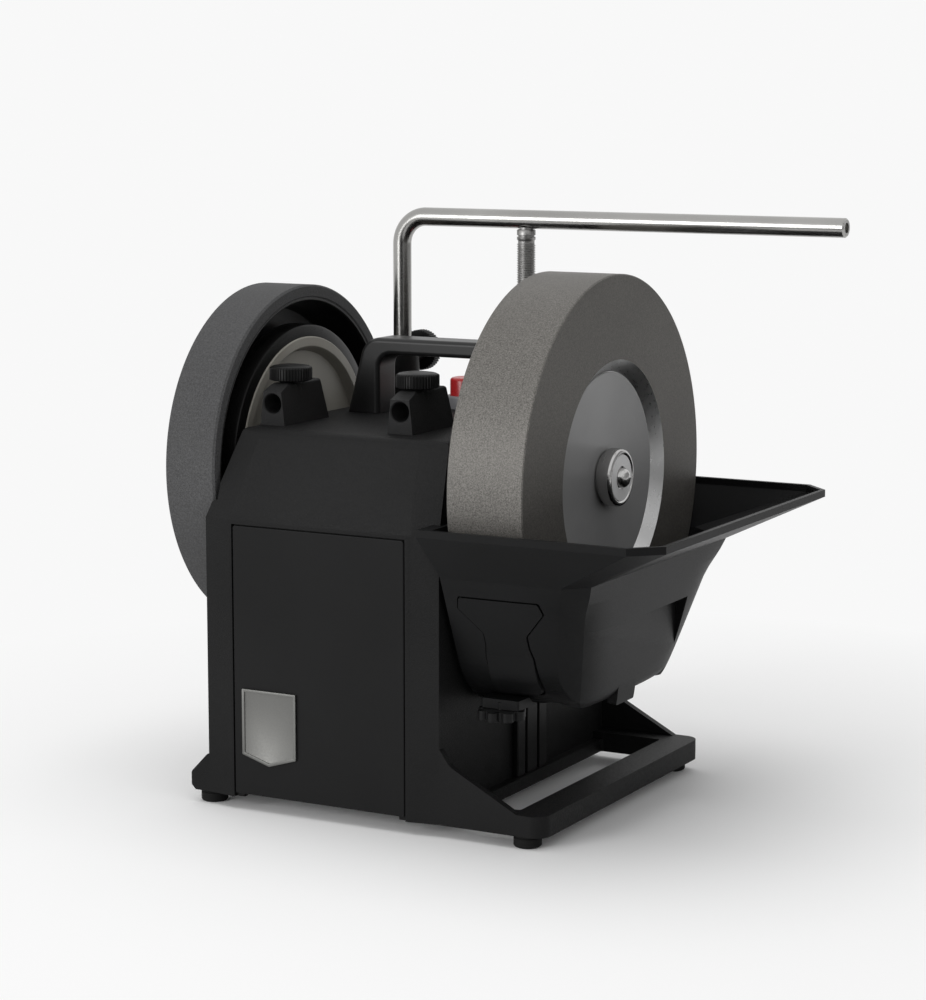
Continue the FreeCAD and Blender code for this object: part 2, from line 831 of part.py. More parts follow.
def shaft_bushes():
    bore = shaft_radius + shaft_fit
    flange = bush_radius + bush_flange
    bushes = []
    for outside, seat, inwards in ((recess_floor_x, bush_left_seat, 1), (wall_right, bush_right_seat, -1)):
        collar = seat + inwards * bush_flange
        nose = collar + inwards * bush_nose
        bushes.append(spin_x([(outside, bore), (outside, bush_radius), (seat, bush_radius), (seat, flange),
                              (collar, flange), (nose, bore + bush_flange), (nose, bore)]))
    return Part.makeCompound(bushes)


def grinding_wheel():
    floor = wheel_face_x - wheel_recess_depth
    bevel_radius = wheel_recess_radius - wheel_bevel_width
    profile = [
        (wheel_inner_x, shaft_radius), (wheel_inner_x, wheel_radius - 0.8),
        (wheel_inner_x + 0.8, wheel_radius), (wheel_face_x - 0.8, wheel_radius),
        (wheel_face_x, wheel_radius - 0.8), (wheel_face_x, wheel_recess_radius),
        (floor, bevel_radius), (floor, shaft_radius),
    ]
    return spin_x(profile)


def face_disc():
    floor = wheel_face_x - wheel_recess_depth
    outer = wheel_recess_radius - wheel_bevel_width - 0.3
    return spin_x([(floor, shaft_radius), (floor, outer), (floor + face_disc_thickness, outer),
                   (floor + face_disc_thickness, shaft_radius)])


def inner_flange():
    start = wheel_inner_x - flange_thickness
    return spin_x([(start, shaft_radius), (start, flange_radius - 1), (start + 1, flange_radius),
                   (wheel_inner_x, flange_radius), (wheel_inner_x, shaft_radius)])


def lock_nut():
    seat = wheel_face_x - wheel_recess_depth + face_disc_thickness + running_gap
    top = wheel_face_x + lock_nut_reach
    bore = shaft_radius + shaft_fit
    return spin_x([(seat, bore), (seat, lock_nut_radius - 1.5), (seat + 2, lock_nut_radius - 1.5),
                   (seat + 2.5, lock_nut_radius), (top - 1.5, lock_nut_radius), (top, lock_nut_radius - 1.5),
                   (top, lock_nut_radius - 6), (top - 0.8, lock_nut_radius - 7), (top - 0.8, bore)])


def honing_wheel():
    inner = honing_radius - honing_rim_wall
    web_right = honing_outer_x + 3 + honing_web
    web_radius = inner - 7
    profile = [
        (honing_outer_x, shaft_radius), (honing_outer_x, hub_radius), (honing_outer_x + 3, hub_radius + 3),
        (honing_outer_x + 3, inner - 4), (honing_outer_x, inner - 2), (honing_outer_x, honing_radius - 1),
        (honing_outer_x + 1, honing_radius), (honing_face_x - 1, honing_radius),
        (honing_face_x, honing_radius - 1), (honing_face_x, inner), (honing_face_x - 1.6, inner - 0.3),
        (honing_face_x - 2.4, inner - 1.9), (honing_face_x - 4.5, inner - 2.6), (web_right, web_radius),
        (web_right, shaft_radius),
    ]
    return spin_x(profile)


def drive_disc():
    web_right = honing_outer_x + 3 + honing_web
    rim_inner = drive_disc_radius - drive_disc_rim
    dish = honing_face_x - drive_disc_recess
    profile = [
        (web_right, shaft_radius), (web_right, hub_radius + 4), (dish - 5, hub_radius + 6),
        (dish - 5, rim_inner - 3), (honing_face_x - drive_disc_width, rim_inner),
        (honing_face_x - drive_disc_width, drive_disc_radius), (honing_face_x - 0.6, drive_disc_radius),
        (honing_face_x, drive_disc_radius - 0.6), (honing_face_x, rim_inner + 0.8),
        (honing_face_x - 0.8, rim_inner), (dish, rim_inner - 2.5), (dish, shaft_radius),
    ]
    disc = spin_x(profile)
    holes = []
    for turn in range(3):
        angle = math.radians(20 + turn * 120)
        holes.append(rod_x(drive_hole_radius, dish - drive_disc_width, dish + 1,
                           drive_hole_circle * math.cos(angle),
                           axis_height + drive_hole_circle * math.sin(angle)))
    return cut(disc, holes)


def drive_tyre():
    right = honing_face_x - 1
    left = right - tyre_width
    outer = tyre_radius
    return spin_x([(left, drive_disc_radius), (left, outer - 1.5), (left + 1.5, outer), (right - 1.5, outer),
                   (right, outer - 1.5), (right, drive_disc_radius)])


def honing_washer():
    right = honing_outer_x
    return spin_x([(right - washer_thickness, shaft_radius), (right - washer_thickness, hub_radius - 1),
                   (right, hub_radius - 1), (right, shaft_radius)])


def honing_nut():
    right = honing_outer_x - washer_thickness
    left = right - honing_nut_length
    corners = []
    for side in range(6):
        angle = math.radians(60 * side)
        corners.append((honing_nut_radius * math.cos(angle),
                        axis_height + honing_nut_radius * math.sin(angle)))
    hexagon = prism_x(corners, left, right)
    crown = spin_x([(left, 0), (left, honing_nut_radius - 2.2), (left + 2.5, honing_nut_radius + 0.2),
                    (right, honing_nut_radius + 0.2), (right, 0)])
    return hexagon.common(crown).cut(rod_x(shaft_radius, left + 1.9, right + 1, 0, axis_height))


# Motor on its hinged cradle
def motor_core():
    start = motor_left_x + motor_bell_length
    end = start + motor_core_length
    return spin_x([(start, rotor_radius + air_gap), (start, motor_radius), (end, motor_radius),
                   (end, rotor_radius + air_gap)], motor_y, motor_z)


def motor_bells():
    core_start = motor_left_x + motor_bell_length
    core_end = core_start + motor_core_length
    bells = []
    for open_x, closed_x in ((core_start, motor_left_x), (core_end, motor_right_x)):
        step = 1 if closed_x > open_x else -1
        profile = [
            (open_x, motor_radius - bell_wall), (open_x, motor_radius),
            (closed_x - step * bell_shoulder, motor_radius), (closed_x, motor_radius - bell_shoulder_drop),
            (closed_x, bearing_radius + bell_wall), (closed_x, bearing_radius),
            (closed_x - step * bearing_width, bearing_radius),
            (closed_x - step * bearing_width, bearing_radius + bell_wall),
            (closed_x - step * bell_floor, bearing_radius + bell_wall),
            (closed_x - step * bell_floor, motor_radius - bell_floor_drop),
            (closed_x - step * bearing_width, motor_radius - bell_wall),
        ]
        bells.append(spin_x(profile, motor_y, motor_z))
    return Part.makeCompound(bells)


def motor_bearings():
    rings = []
    for start in (motor_left_x, motor_right_x - bearing_width):
        end = start + bearing_width
        bore = motor_shaft_radius + shaft_fit
        rings.append(spin_x([(start, bore), (start, bearing_radius), (end, bearing_radius), (end, bore)],
                            motor_y, motor_z))
    return Part.makeCompound(rings)


def rotor():
    core_start = motor_left_x + motor_bell_length
    core_end = core_start + motor_core_length
    spindle_end = honing_face_x - tyre_width
    shaft_end = motor_right_x + rotor_tail
    profile = [
        (spindle_end, 0), (spindle_end, spindle_radius - 0.5), (spindle_end + 0.5, spindle_radius),
        (recess_floor_x + 2, spindle_radius), (recess_floor_x + 3, motor_shaft_radius),
        (core_start, motor_shaft_radius), (core_start, rotor_radius), (core_end, rotor_radius),
        (core_end, motor_shaft_radius),
        (shaft_end, motor_shaft_radius), (shaft_end, 0),
    ]
    return spin_x(profile, motor_y, motor_z)


def motor_fan():
    start = motor_right_x + fan_gap
    end = start + fan_width
    hub = spin_x([(start, motor_shaft_radius), (start, fan_hub), (end, fan_hub - 2),
                  (end, motor_shaft_radius)], motor_y, motor_z)
    blades = [hub]
    for turn in range(fan_blades):
        blade = block(start + 2, end - 1, motor_y - fan_blade / 2, motor_y + fan_blade / 2,
                      motor_z + fan_hub - 3, motor_z + fan_radius)
        blade.rotate(Vector(0, motor_y, motor_z), Vector(1, 0, 0), turn * 360 / fan_blades)
        blades.append(blade)
    return fuse(blades)


def motor_cradle():
    start = cradle_left
    end = cradle_right
    outer = motor_radius + cradle_band
    band = spin_x([(start, motor_radius), (start, outer), (end, outer), (end, motor_radius)],
                  motor_y, motor_z)
    arm = prism_x([(hinge_y, hinge_z - hinge_eye), (motor_y, motor_z - outer + 0.5), (motor_y, motor_z),
                   (hinge_y, hinge_z + hinge_eye)], start, end)
    eye = rod_x(hinge_eye, start, end, hinge_y, hinge_z)
    tab = block(start, end, motor_y, spring_y + spring_radius + 2, cradle_tab_bottom, motor_z)
    inside = rod_x(motor_radius, start - 1, end + 1, motor_y, motor_z)
    bore = rod_x(hinge_pin_radius + shaft_fit, start - 1, end + 1, hinge_y, hinge_z)
    return cut(fuse([band, arm, eye, tab]), [inside, bore])


def hinge_bracket():
    outer_left = cradle_left - running_gap - hinge_ear
    outer_right = cradle_right + running_gap + hinge_ear
    outline = [(hinge_y - hinge_foot, base_plate_top), (hinge_y + hinge_foot, base_plate_top),
               (hinge_y + hinge_eye, hinge_z + hinge_eye), (hinge_y - hinge_eye, hinge_z + hinge_eye)]
    ears = []
    for x in (outer_left, outer_right - hinge_ear):
        ears.append(prism_x(outline, x, x + hinge_ear, [0, 0, hinge_eye - 1, hinge_eye - 1]))
    foot = block(outer_left, outer_right, hinge_y - hinge_foot, hinge_y + hinge_foot,
                 base_plate_top, base_plate_top + hinge_plate)
    pin_hole = rod_x(hinge_pin_radius, outer_left - 1, outer_right + 1, hinge_y, hinge_z)
    return fuse(ears + [foot]).cut(pin_hole)


def hinge_pin():
    reach = hinge_ear + 2 * running_gap + 3
    return rod_x(hinge_pin_radius, cradle_left - reach, cradle_right + reach, hinge_y, hinge_z)


def motor_spring():
    x = (motor_left_x + motor_right_x) / 2
    top = cradle_tab_bottom - running_gap
    outer = rod_z(spring_radius, x, spring_y, base_plate_top, top)
    return outer.cut(rod_z(spring_radius - spring_wire, x, spring_y, base_plate_top - 1, top + 1))


def capacitor():
    start = capacitor_left_x
    end = start + capacitor_length
    return spin_x([(start, 0), (start, capacitor_radius - 2), (start + 2, capacitor_radius),
                   (end - 3, capacitor_radius), (end - 3, capacitor_radius - 2), (end, capacitor_radius - 4),
                   (end, 0)], capacitor_y, capacitor_z)


def capacitor_clamp():
    x0 = capacitor_left_x + (capacitor_length - capacitor_clamp_width) / 2
    x1 = x0 + capacitor_clamp_width
    outer = capacitor_radius + clamp_band
    band = spin_x([(x0, capacitor_radius), (x0, outer), (x1, outer), (x1, capacitor_radius)],
                  capacitor_y, capacitor_z)
    leg = block(x0, x1, capacitor_y - clamp_leg / 2, capacitor_y + clamp_leg / 2, base_plate_top, capacitor_z)
    foot = block(x0, x1, capacitor_y - clamp_foot / 2, capacitor_y + clamp_foot / 2,
                 base_plate_top, base_plate_top + clamp_band)
    hollow = rod_x(capacitor_radius, x0 - 1, x1 + 1, capacitor_y, capacitor_z)
    return fuse([band, leg, foot]).cut(hollow)


def terminal_block():
    rear = cavity_half_depth - terminal_back
    top = base_plate_top + terminal_size
    right = terminal_left_x + terminal_count * terminal_pitch
    body = block(terminal_left_x, right, rear - terminal_size, rear, base_plate_top, top)
    wells = []
    for place in range(terminal_count):
        x = terminal_left_x + (place + 0.5) * terminal_pitch
        wells.append(rod_z(terminal_well, x, rear - terminal_size / 2, top - terminal_size / 2, top + 1))
    return cut(body, wells)


# Red push switch on a grey collar at the back of the top
def switch_collar():
    bottom = top_height
    top = bottom + collar_height
    bore = button_radius + running_gap
    return spin_z([(bore, bottom), (collar_radius - collar_taper, bottom), (collar_radius, top - 1),
                   (collar_radius - 1, top), (bore, top)], switch_x, switch_y)


def switch_button():
    bottom = top_height + button_travel + running_gap
    top = bottom + collar_height + button_height - button_travel
    stem = button_radius - button_step
    stem_bottom = top_height - housing_wall - button_travel
    return spin_z([(0, stem_bottom), (stem, stem_bottom), (stem, bottom), (button_radius, bottom),
                   (button_radius, top - 2), (button_radius - 2, top), (0, top)], switch_x, switch_y)


def switch_body():
    half = switch_body_size / 2
    top = top_height - housing_wall
    case = block(switch_x - half, switch_x + half, switch_y - half, switch_y + half,
                 top - switch_body_depth, top)
    well = rod_z(button_radius - button_step + 1, switch_x, switch_y, top - 3 * button_travel, top + 1)
    return case.cut(well)


def cable_gland():
    outer = housing_half_depth
    hexagon = []
    for side in range(6):
        angle = math.radians(60 * side)
        hexagon.append((gland_x + gland_radius * math.cos(angle),
                        gland_height + gland_radius * math.sin(angle)))
    nut_end = outer + gland_nut_length
    dome_end = nut_end + gland_dome_length
    barrel_end = outer - panel_thickness - gland_barrel_length
    nut = prism_y(hexagon, outer, nut_end)
    dome = rod_y(gland_radius - gland_dome_step, gland_x, nut_end, dome_end, gland_height)
    barrel = rod_y(gland_radius - gland_barrel_step, gland_x, barrel_end, outer, gland_height)
    bore = rod_y(gland_bore, gland_x, barrel_end - 1, dome_end + 1, gland_height)
    return fuse([nut, dome, barrel]).cut(bore)


# Water trough: a boat-shaped bowl with a flared rim
def crease_outline():
    return [
        (trough_left, -crease_half_length), (crease_right_x - front_corner, -crease_half_length),
        (crease_right_x, -crease_half_length + front_corner),
        (crease_right_x, crease_half_length - rear_corner),
        (crease_right_x - rear_corner, crease_half_length), (trough_left, crease_half_length),
    ]


def rim_outline():
    left = trough_left - rim_left_ear
    return [
        (left, -rim_half_length), (rim_right_x - rim_corner, -rim_half_length),
        (rim_right_x, -rim_half_length + rim_corner), (rim_right_x, rim_half_length - rim_corner),
        (rim_right_x - rim_corner, rim_half_length), (left, rim_half_length),
    ]


# Wedges that take off the leaning corners of the bowl
def corner_wedges(inset):
    wedges = []
    for corner, side in ((front_corner, -1), (rear_corner, 1)):
        lean = Vector(right_lean_in, side * side_lean, crease_height - trough_bottom)
        line = Vector(-corner, side * corner, 0)
        outwards = Vector(1, side, 0).normalize()
        first = Vector(floor_right_x, side * (bottom_half_length - corner), trough_bottom)
        start = first - outwards * inset - lean * 0.05 - line
        end = start + line * 3
        away = outwards * crease_right_x
        wedges.append(face_of([start, end, end + away, start + away]).extrude(lean * 1.1))
    return wedges


def trough_form(inset, headroom=0.0):
    crease = inset_polygon(crease_outline(), inset)
    rim = inset_polygon(rim_outline(), inset)
    low = [Vector(x, y, crease_height) for x, y in crease]
    high = [Vector(x, y, rim_height - rim_band) for x, y in rim]
    wires = [Part.makePolygon(points + [points[0]]) for points in (low, high)]
    flare = Part.makeLoft(wires, True, True)
    band = prism_z(rim, rim_height - rim_band, rim_height + headroom)
    side = inset_polygon([(-bottom_half_length, trough_bottom), (bottom_half_length, trough_bottom),
                          (crease_half_length, crease_height), (-crease_half_length, crease_height)], inset)
    stretch = (crease_height - side[2][1]) / (side[2][1] - side[1][1])
    lift = stretch * (side[2][0] - side[1][0])
    side[2] = (side[2][0] + lift, crease_height)
    side[3] = (side[3][0] - lift, crease_height)
    boat = prism_x(side, trough_left, crease_right_x, [bottom_round - inset, bottom_round - inset, 0, 0])
    front = [(trough_left + inset, trough_bottom + inset), (floor_right_x - inset, trough_bottom + inset),
             (crease_right_x - inset, crease_height), (trough_left + inset, crease_height)]
    ends = prism_y(front, -crease_half_length, crease_half_length, [3, max(right_round - inset, 2), 0, 0])
    bowl = cut(boat.common(ends), corner_wedges(inset))
    return fuse([bowl, flare, band])


def latch_outline(margin):
    middle = latch_left_x + latch_width / 2
    half_top = latch_width / 2 + margin
    half_neck = latch_neck / 2 + margin
    half_foot = latch_foot / 2 + margin
    low = latch_bottom - margin
    high = latch_top + margin
    neck_bottom = (latch_foot_top + latch_neck_top) / 2
    right = [
        (half_foot, low), (half_foot, latch_foot_top), (half_neck, neck_bottom),
        (half_neck, latch_neck_top), (half_top, latch_shoulder), (half_top - 2, high),
    ]
    left = [(-x, z) for x, z in reversed(right)]
    return [(middle + x, z) for x, z in right + left]


def latch_prism(margin):
    radii = [5, 3, 3, 3, 2, 2]
    return prism_y(latch_outline(margin), -rim_half_length, latch_back_y, radii + radii[::-1])


def grip_wedge(margin):
    drop = (crease_height - grip_height) / (crease_height - trough_bottom)
    wall_at_grip = crease_right_x - right_lean_in * drop
    outside = crease_right_x + 5
    outline = [(wall_at_grip - margin, grip_front_y - 3 * margin), (outside, grip_front_y - 3 * margin),
               (outside, grip_rear_y + margin), (wall_at_grip - grip_depth - margin, grip_rear_y + margin)]
    return prism_z(outline, trough_bottom, grip_height + margin)


def trough():
    outer = trough_form(0.0)
    pocket = outer.cut(trough_form(pocket_depth)).common(latch_prism(latch_gap))
    keep_inside = block(trough_left + trough_wall, rim_right_x, -rim_half_length, rim_half_length,
                        trough_bottom, rim_height + 6)
    hollow = trough_form(trough_wall, 5.0).common(keep_inside).cut(grip_wedge(trough_wall))
    housing_room = block(trough_left - 2 * rim_left_ear, trough_left, -housing_half_depth - trough_clear,
                         housing_half_depth + trough_clear, trough_bottom, rim_height + 1)
    tab_low = trough_bottom - tab_drop
    tab_high = trough_bottom + tab_rise
    tab = prism_x([(tab_front_y, tab_low), (tab_rear_y, tab_low), (tab_rear_y, tab_high),
                   (tab_front_y, tab_high)], floor_right_x - tab_half, floor_right_x + tab_half,
                  [1.5, 1.5, 0, 0])
    ribs = []
    for side in (-1, 1):
        middle = side * (groove_inner + groove_width / 2)
        half = groove_width / 2 - rib_fit
        ribs.append(block(wall_right + rail_thickness - groove_depth + rib_fit, trough_left + 1,
                          middle - half, middle + half, trough_bottom + tab_rise, rail_top - rail_thickness))
    shell = cut(outer, [grip_wedge(0.0), hollow, housing_room, pocket])
    return fuse([shell, tab.cut(hollow)] + ribs)


def trough_latch():
    inside = trough_form(pocket_depth - running_gap / 1.5)
    plate = trough_form(-latch_proud).cut(inside)
    below = block(trough_left, rim_right_x, -rim_half_length, latch_back_y, trough_bottom, latch_foot_top)
    foot = trough_form(-latch_proud - latch_bulge).cut(inside).common(below)
    return fuse([plate, foot]).common(latch_prism(0.0))


def trough_rail():
    left = wall_right
    right = wall_right + rail_thickness
    bottom = foot_height + ledge_height
    plate = prism_z([(left, -rail_half_width), (right, -rail_half_width), (right, rail_half_width),
                     (left, rail_half_width)], bottom, rail_top, [0, 1, 1, 0])
    grooves = []
    for side in (-1, 1):
        middle = side * (groove_inner + groove_width / 2)
        grooves.append(block(right - groove_depth, right + 1, middle - groove_width / 2,
                             middle + groove_width / 2, bottom - 1, rail_top + 1))
    return cut(plate, grooves)


def lift_block():
    right = lift_block_left + lift_block_width
    body = prism_z([(lift_block_left, lift_block_front), (right, lift_block_front), (right, latch_back_y),
                    (lift_block_left, latch_back_y)], lift_block_bottom, lift_block_top, [1.5, 1.5, 0, 0])
    stud_hole = rod_z(stud_radius + sleeve_fit, lift_knob_x, lift_knob_y, lift_block_bottom - 1,
                      lift_block_bottom + lift_stud + running_gap)
    return cut(body, [trough_form(0.0), stud_hole])


def lift_knob():
    top = lift_block_bottom - running_gap
    bottom = top - lift_knob_height
    reach = lift_knob_radius - lift_lobe_radius
    pieces = [rod_z(reach, lift_knob_x, lift_knob_y, bottom, top),
              rod_z(stud_radius, lift_knob_x, lift_knob_y, top, lift_block_bottom + lift_stud)]
    for turn in range(lift_knob_lobes):
        angle = 2 * math.pi * turn / lift_knob_lobes
        pieces.append(rod_z(lift_lobe_radius, lift_knob_x + reach * math.cos(angle),
                            lift_knob_y + reach * math.sin(angle), bottom, top))
    return fuse(pieces)


def write(name, shape):
    shape.exportStep("parts/" + name + ".step")


def main():
    os.makedirs("parts", exist_ok=True)
    write("housing", housing())
    write("front_panel", panel(True))
    write("rear_panel", rear_panel())
    write("base_plate", base_plate())
    write("badge_plate", badge_plate())
    write("rubber_feet", rubber_feet())
    write("foot_screws", foot_screws())
    write("handle", handle())
    write("handle_screws", handle_screws())
    for side, sleeve_x, leg_x in (("left", front_sleeve_xs[0], rear_leg_xs[0]),
                                  ("right", front_sleeve_xs[1], rear_leg_xs[1])):
        write("front_sleeve_" + side, front_sleeve(sleeve_x))
        write("rear_sleeve_" + side, rear_sleeve(leg_x))
        write("front_knob_" + side, front_knob(sleeve_x))
        write("rear_knob_" + side, rear_knob(leg_x))
    write("support_bar", support_bar())
    write("threaded_leg", threaded_leg())
    write("micro_adjust_nut", micro_nut())
    write("main_shaft", main_shaft())
    write("shaft_bushes", shaft_bushes())
    write("grinding_wheel", grinding_wheel())
    write("face_disc", face_disc())
    write("inner_flange", inner_flange())
    write("lock_nut", lock_nut())
    write("honing_wheel", honing_wheel())
    write("drive_disc", drive_disc())
    write("drive_tyre", drive_tyre())
    write("honing_washer", honing_washer())
    write("honing_nut", honing_nut())
    write("motor_core", motor_core())
    write("motor_bells", motor_bells())
    write("motor_bearings", motor_bearings())
    write("rotor", rotor())
    write("motor_fan", motor_fan())
    write("motor_cradle", motor_cradle())
    write("hinge_bracket", hinge_bracket())
    write("hinge_pin", hinge_pin())
    write("motor_spring", motor_spring())
    write("capacitor", capacitor())
    write("capacitor_clamp", capacitor_clamp())
    write("terminal_block", terminal_block())
    write("switch_collar", switch_collar())
    write("switch_button", switch_button())
    write("switch_body", switch_body())
    write("cable_gland", cable_gland())
    write("trough", trough())
    write("trough_latch", trough_latch())
    write("trough_rail", trough_rail())
    write("lift_block", lift_block())
    write("lift_knob", lift_knob())


main()
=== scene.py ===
import bpy
import bmesh
import math
from mathutils import Matrix, Vector


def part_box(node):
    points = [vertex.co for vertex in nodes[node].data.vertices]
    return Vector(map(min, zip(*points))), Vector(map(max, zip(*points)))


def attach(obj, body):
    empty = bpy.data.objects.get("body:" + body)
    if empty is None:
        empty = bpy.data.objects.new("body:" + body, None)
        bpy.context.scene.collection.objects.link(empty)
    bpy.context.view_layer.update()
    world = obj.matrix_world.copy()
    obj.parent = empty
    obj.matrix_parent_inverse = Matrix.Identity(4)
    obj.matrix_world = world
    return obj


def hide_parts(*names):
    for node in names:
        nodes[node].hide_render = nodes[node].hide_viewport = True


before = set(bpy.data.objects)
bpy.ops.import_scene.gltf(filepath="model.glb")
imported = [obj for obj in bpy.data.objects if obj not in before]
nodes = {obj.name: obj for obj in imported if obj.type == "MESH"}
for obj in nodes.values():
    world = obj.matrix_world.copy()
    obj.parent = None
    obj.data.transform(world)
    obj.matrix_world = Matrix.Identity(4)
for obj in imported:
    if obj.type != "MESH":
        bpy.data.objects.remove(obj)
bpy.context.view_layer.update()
mm = 0.001
weldGap = 1e-6  # these three in metres
wideWeldGap = 2e-6
cutGap = 1e-7
axes = {"x": Vector((1, 0, 0)), "y": Vector((0, 1, 0)), "z": Vector((0, 0, 1))}
print("frame loaded:", len(nodes), "nodes")


# Mesh helpers, with sizes in millimetres

def boxOf(node):
    low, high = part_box(node)
    return low / mm, high / mm


edgeLook = {"flatTo": 0.6, "sharpFrom": 28, "segments": 2}  # angles in degrees
foldAngles = {"plain": 35, "moulded": 40, "tread": 30, "bevel": 20, "thread": 50}


def softenEdges(bm, width):
    sharp = [edge for edge in bm.edges if len(edge.link_faces) == 2
             and edge.calc_face_angle() > math.radians(edgeLook["sharpFrom"])]
    bmesh.ops.bevel(bm, geom=sharp, offset=width * mm, offset_type="OFFSET", segments=edgeLook["segments"],
                    profile=0.5, affect="EDGES", clamp_overlap=True, loop_slide=True, material=-1)


# Points of an outline, each given by its distance from one end and its depth below a radius
def fromLow(points, end, radius):
    return [(end + back, radius - drop) for back, drop in points]


def fromHigh(points, end, radius):
    return [(end - back, radius - drop) for back, drop in points]


def turned(profile, centre, axis, steps, closed=False, soften=0.0):
    bm = bmesh.new()
    along = axes[axis]
    out = axes["x"] if axis == "z" else axes["z"]
    middle = Vector(centre)
    points = [bm.verts.new((middle + along * place + out * radius) * mm) for place, radius in profile]
    edges = [bm.edges.new(pair) for pair in zip(points, points[1:])]
    if closed:
        edges.append(bm.edges.new((points[-1], points[0])))
    bmesh.ops.spin(bm, geom=points + edges, cent=middle * mm, axis=along, dvec=(0, 0, 0),
                   angle=2 * math.pi, steps=steps, use_merge=True, use_duplicate=False)
    bmesh.ops.remove_doubles(bm, verts=bm.verts, dist=weldGap)
    bmesh.ops.recalc_face_normals(bm, faces=bm.faces)
    if soften:
        softenEdges(bm, soften)
    return bm


# A node's own triangles, merged and with flat areas joined, then eased at the sharp edges
def softCopy(node, width):
    bm = bmesh.new()
    bm.from_mesh(nodes[node].data)
    bmesh.ops.remove_doubles(bm, verts=bm.verts, dist=wideWeldGap)
    bmesh.ops.dissolve_limit(bm, angle_limit=math.radians(edgeLook["flatTo"]), verts=bm.verts,
                             edges=bm.edges)
    softenEdges(bm, width)
    return bm


def addShape(bm, other):
    spare = bpy.data.meshes.new("spare")
    other.to_mesh(spare)
    other.free()
    bm.from_mesh(spare)
    bpy.data.meshes.remove(spare)


def makePiece(name, bm, material, body, replaced, fold="plain", flatFaces=False):
    mesh = bpy.data.meshes.new(name)
    bm.to_mesh(mesh)
    bm.free()
    mesh.materials.append(material)
    for polygon in mesh.polygons:
        polygon.use_smooth = True
    mesh.set_sharp_from_angle(angle=math.radians(foldAngles[fold]))
    piece = bpy.data.objects.new(name, mesh)
    bpy.context.scene.collection.objects.link(piece)
    if flatFaces:
        weighted = piece.modifiers.new("flatFaces", "WEIGHTED_NORMAL")
        weighted.keep_sharp = True
    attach(piece, body)
    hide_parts(*replaced)


# Material helpers

slowNoise = {
    "black": {"scale": 9, "detail": 3.0},
    "metal": {"scale": 14, "detail": 3.0},
    "plastic": {"scale": 20, "detail": 3.0},
    "grit": {"scale": 12, "detail": 4.0},
}
fineNoise = {
    "black": {"detail": 3.0, "roughness": 0.55},
    "metal": {"detail": 3.0, "roughness": 0.6},
    "plastic": {"detail": 2.0, "roughness": 0.6},
    "grit": {"detail": 4.0, "roughness": 0.7},
}


def startMaterial(name):
    material = bpy.data.materials.new(name)
    material.use_nodes = True
    tree = material.node_tree
    place = tree.nodes.new("ShaderNodeTexCoord").outputs["Object"]
    return material, tree, tree.nodes["Principled BSDF"], place


def noiseOn(tree, place, scale, detail, roughness=0.5):
    noise = tree.nodes.new("ShaderNodeTexNoise")
    noise.inputs["Scale"].default_value = scale
    noise.inputs["Detail"].default_value = detail
    noise.inputs["Roughness"].default_value = roughness
    tree.links.new(place, noise.inputs["Vector"])
    return noise.outputs["Fac"]


def stretched(tree, place, scale):
    mapping = tree.nodes.new("ShaderNodeMapping")
    mapping.inputs["Scale"].default_value = scale
    tree.links.new(place, mapping.inputs["Vector"])
    return mapping.outputs["Vector"]


def rangeOf(tree, value, low, high, fromLow=0.3, fromHigh=0.7):
    spread = tree.nodes.new("ShaderNodeMapRange")
    limits = {"From Min": fromLow, "From Max": fromHigh, "To Min": low, "To Max": high}
    for socket, number in limits.items():
        spread.inputs[socket].default_value = number
    tree.links.new(value, spread.inputs["Value"])
    return spread.outputs["Result"]


def twoTone(tree, value, dark, light, low=0.35, high=0.65):
    ramp = tree.nodes.new("ShaderNodeValToRGB")
    ramp.color_ramp.elements[0].position = low
    ramp.color_ramp.elements[0].color = (*dark, 1)
    ramp.color_ramp.elements[1].position = high
    ramp.color_ramp.elements[1].color = (*light, 1)
    tree.links.new(value, ramp.inputs["Fac"])
    return ramp.outputs["Color"]


def multiplied(tree, first, second):
    mix = tree.nodes.new("ShaderNodeMix")
    mix.data_type = "RGBA"
    mix.blend_type = "MULTIPLY"
    mix.inputs["Factor"].default_value = 1.0
    tree.links.new(first, mix.inputs["A"])
    tree.links.new(second, mix.inputs["B"])
    return mix.outputs["Result"]


def bumpOn(tree, shader, height, depth, strength):
    bump = tree.nodes.new("ShaderNodeBump")
    bump.inputs["Distance"].default_value = depth * mm
    bump.inputs["Strength"].default_value = strength
    tree.links.new(height, bump.inputs["Height"])
    tree.links.new(bump.outputs["Normal"], shader.inputs["Normal"])


def gray(level, tint=(1, 1, 1)):
    return tuple(level * part for part in tint)


# Moulded and painted finishes: a fine grain, a slow unevenness and a little sheen

def grainedBlack(name, look):
    material, tree, shader, place = startMaterial(name)
    grain = noiseOn(tree, place, 1 / (look["grain"] * mm), **fineNoise["black"])
    slow = noiseOn(tree, place, **slowNoise["black"])
    tree.links.new(twoTone(tree, slow, gray(look["dark"], look["tint"]), gray(look["light"], look["tint"])),
                   shader.inputs["Base Color"])
    tree.links.new(rangeOf(tree, grain, look["smooth"], look["rough"]), shader.inputs["Roughness"])
    shader.inputs["Specular IOR Level"].default_value = look["shine"]
    bumpOn(tree, shader, grain, look["depth"], look["bump"])
    return material


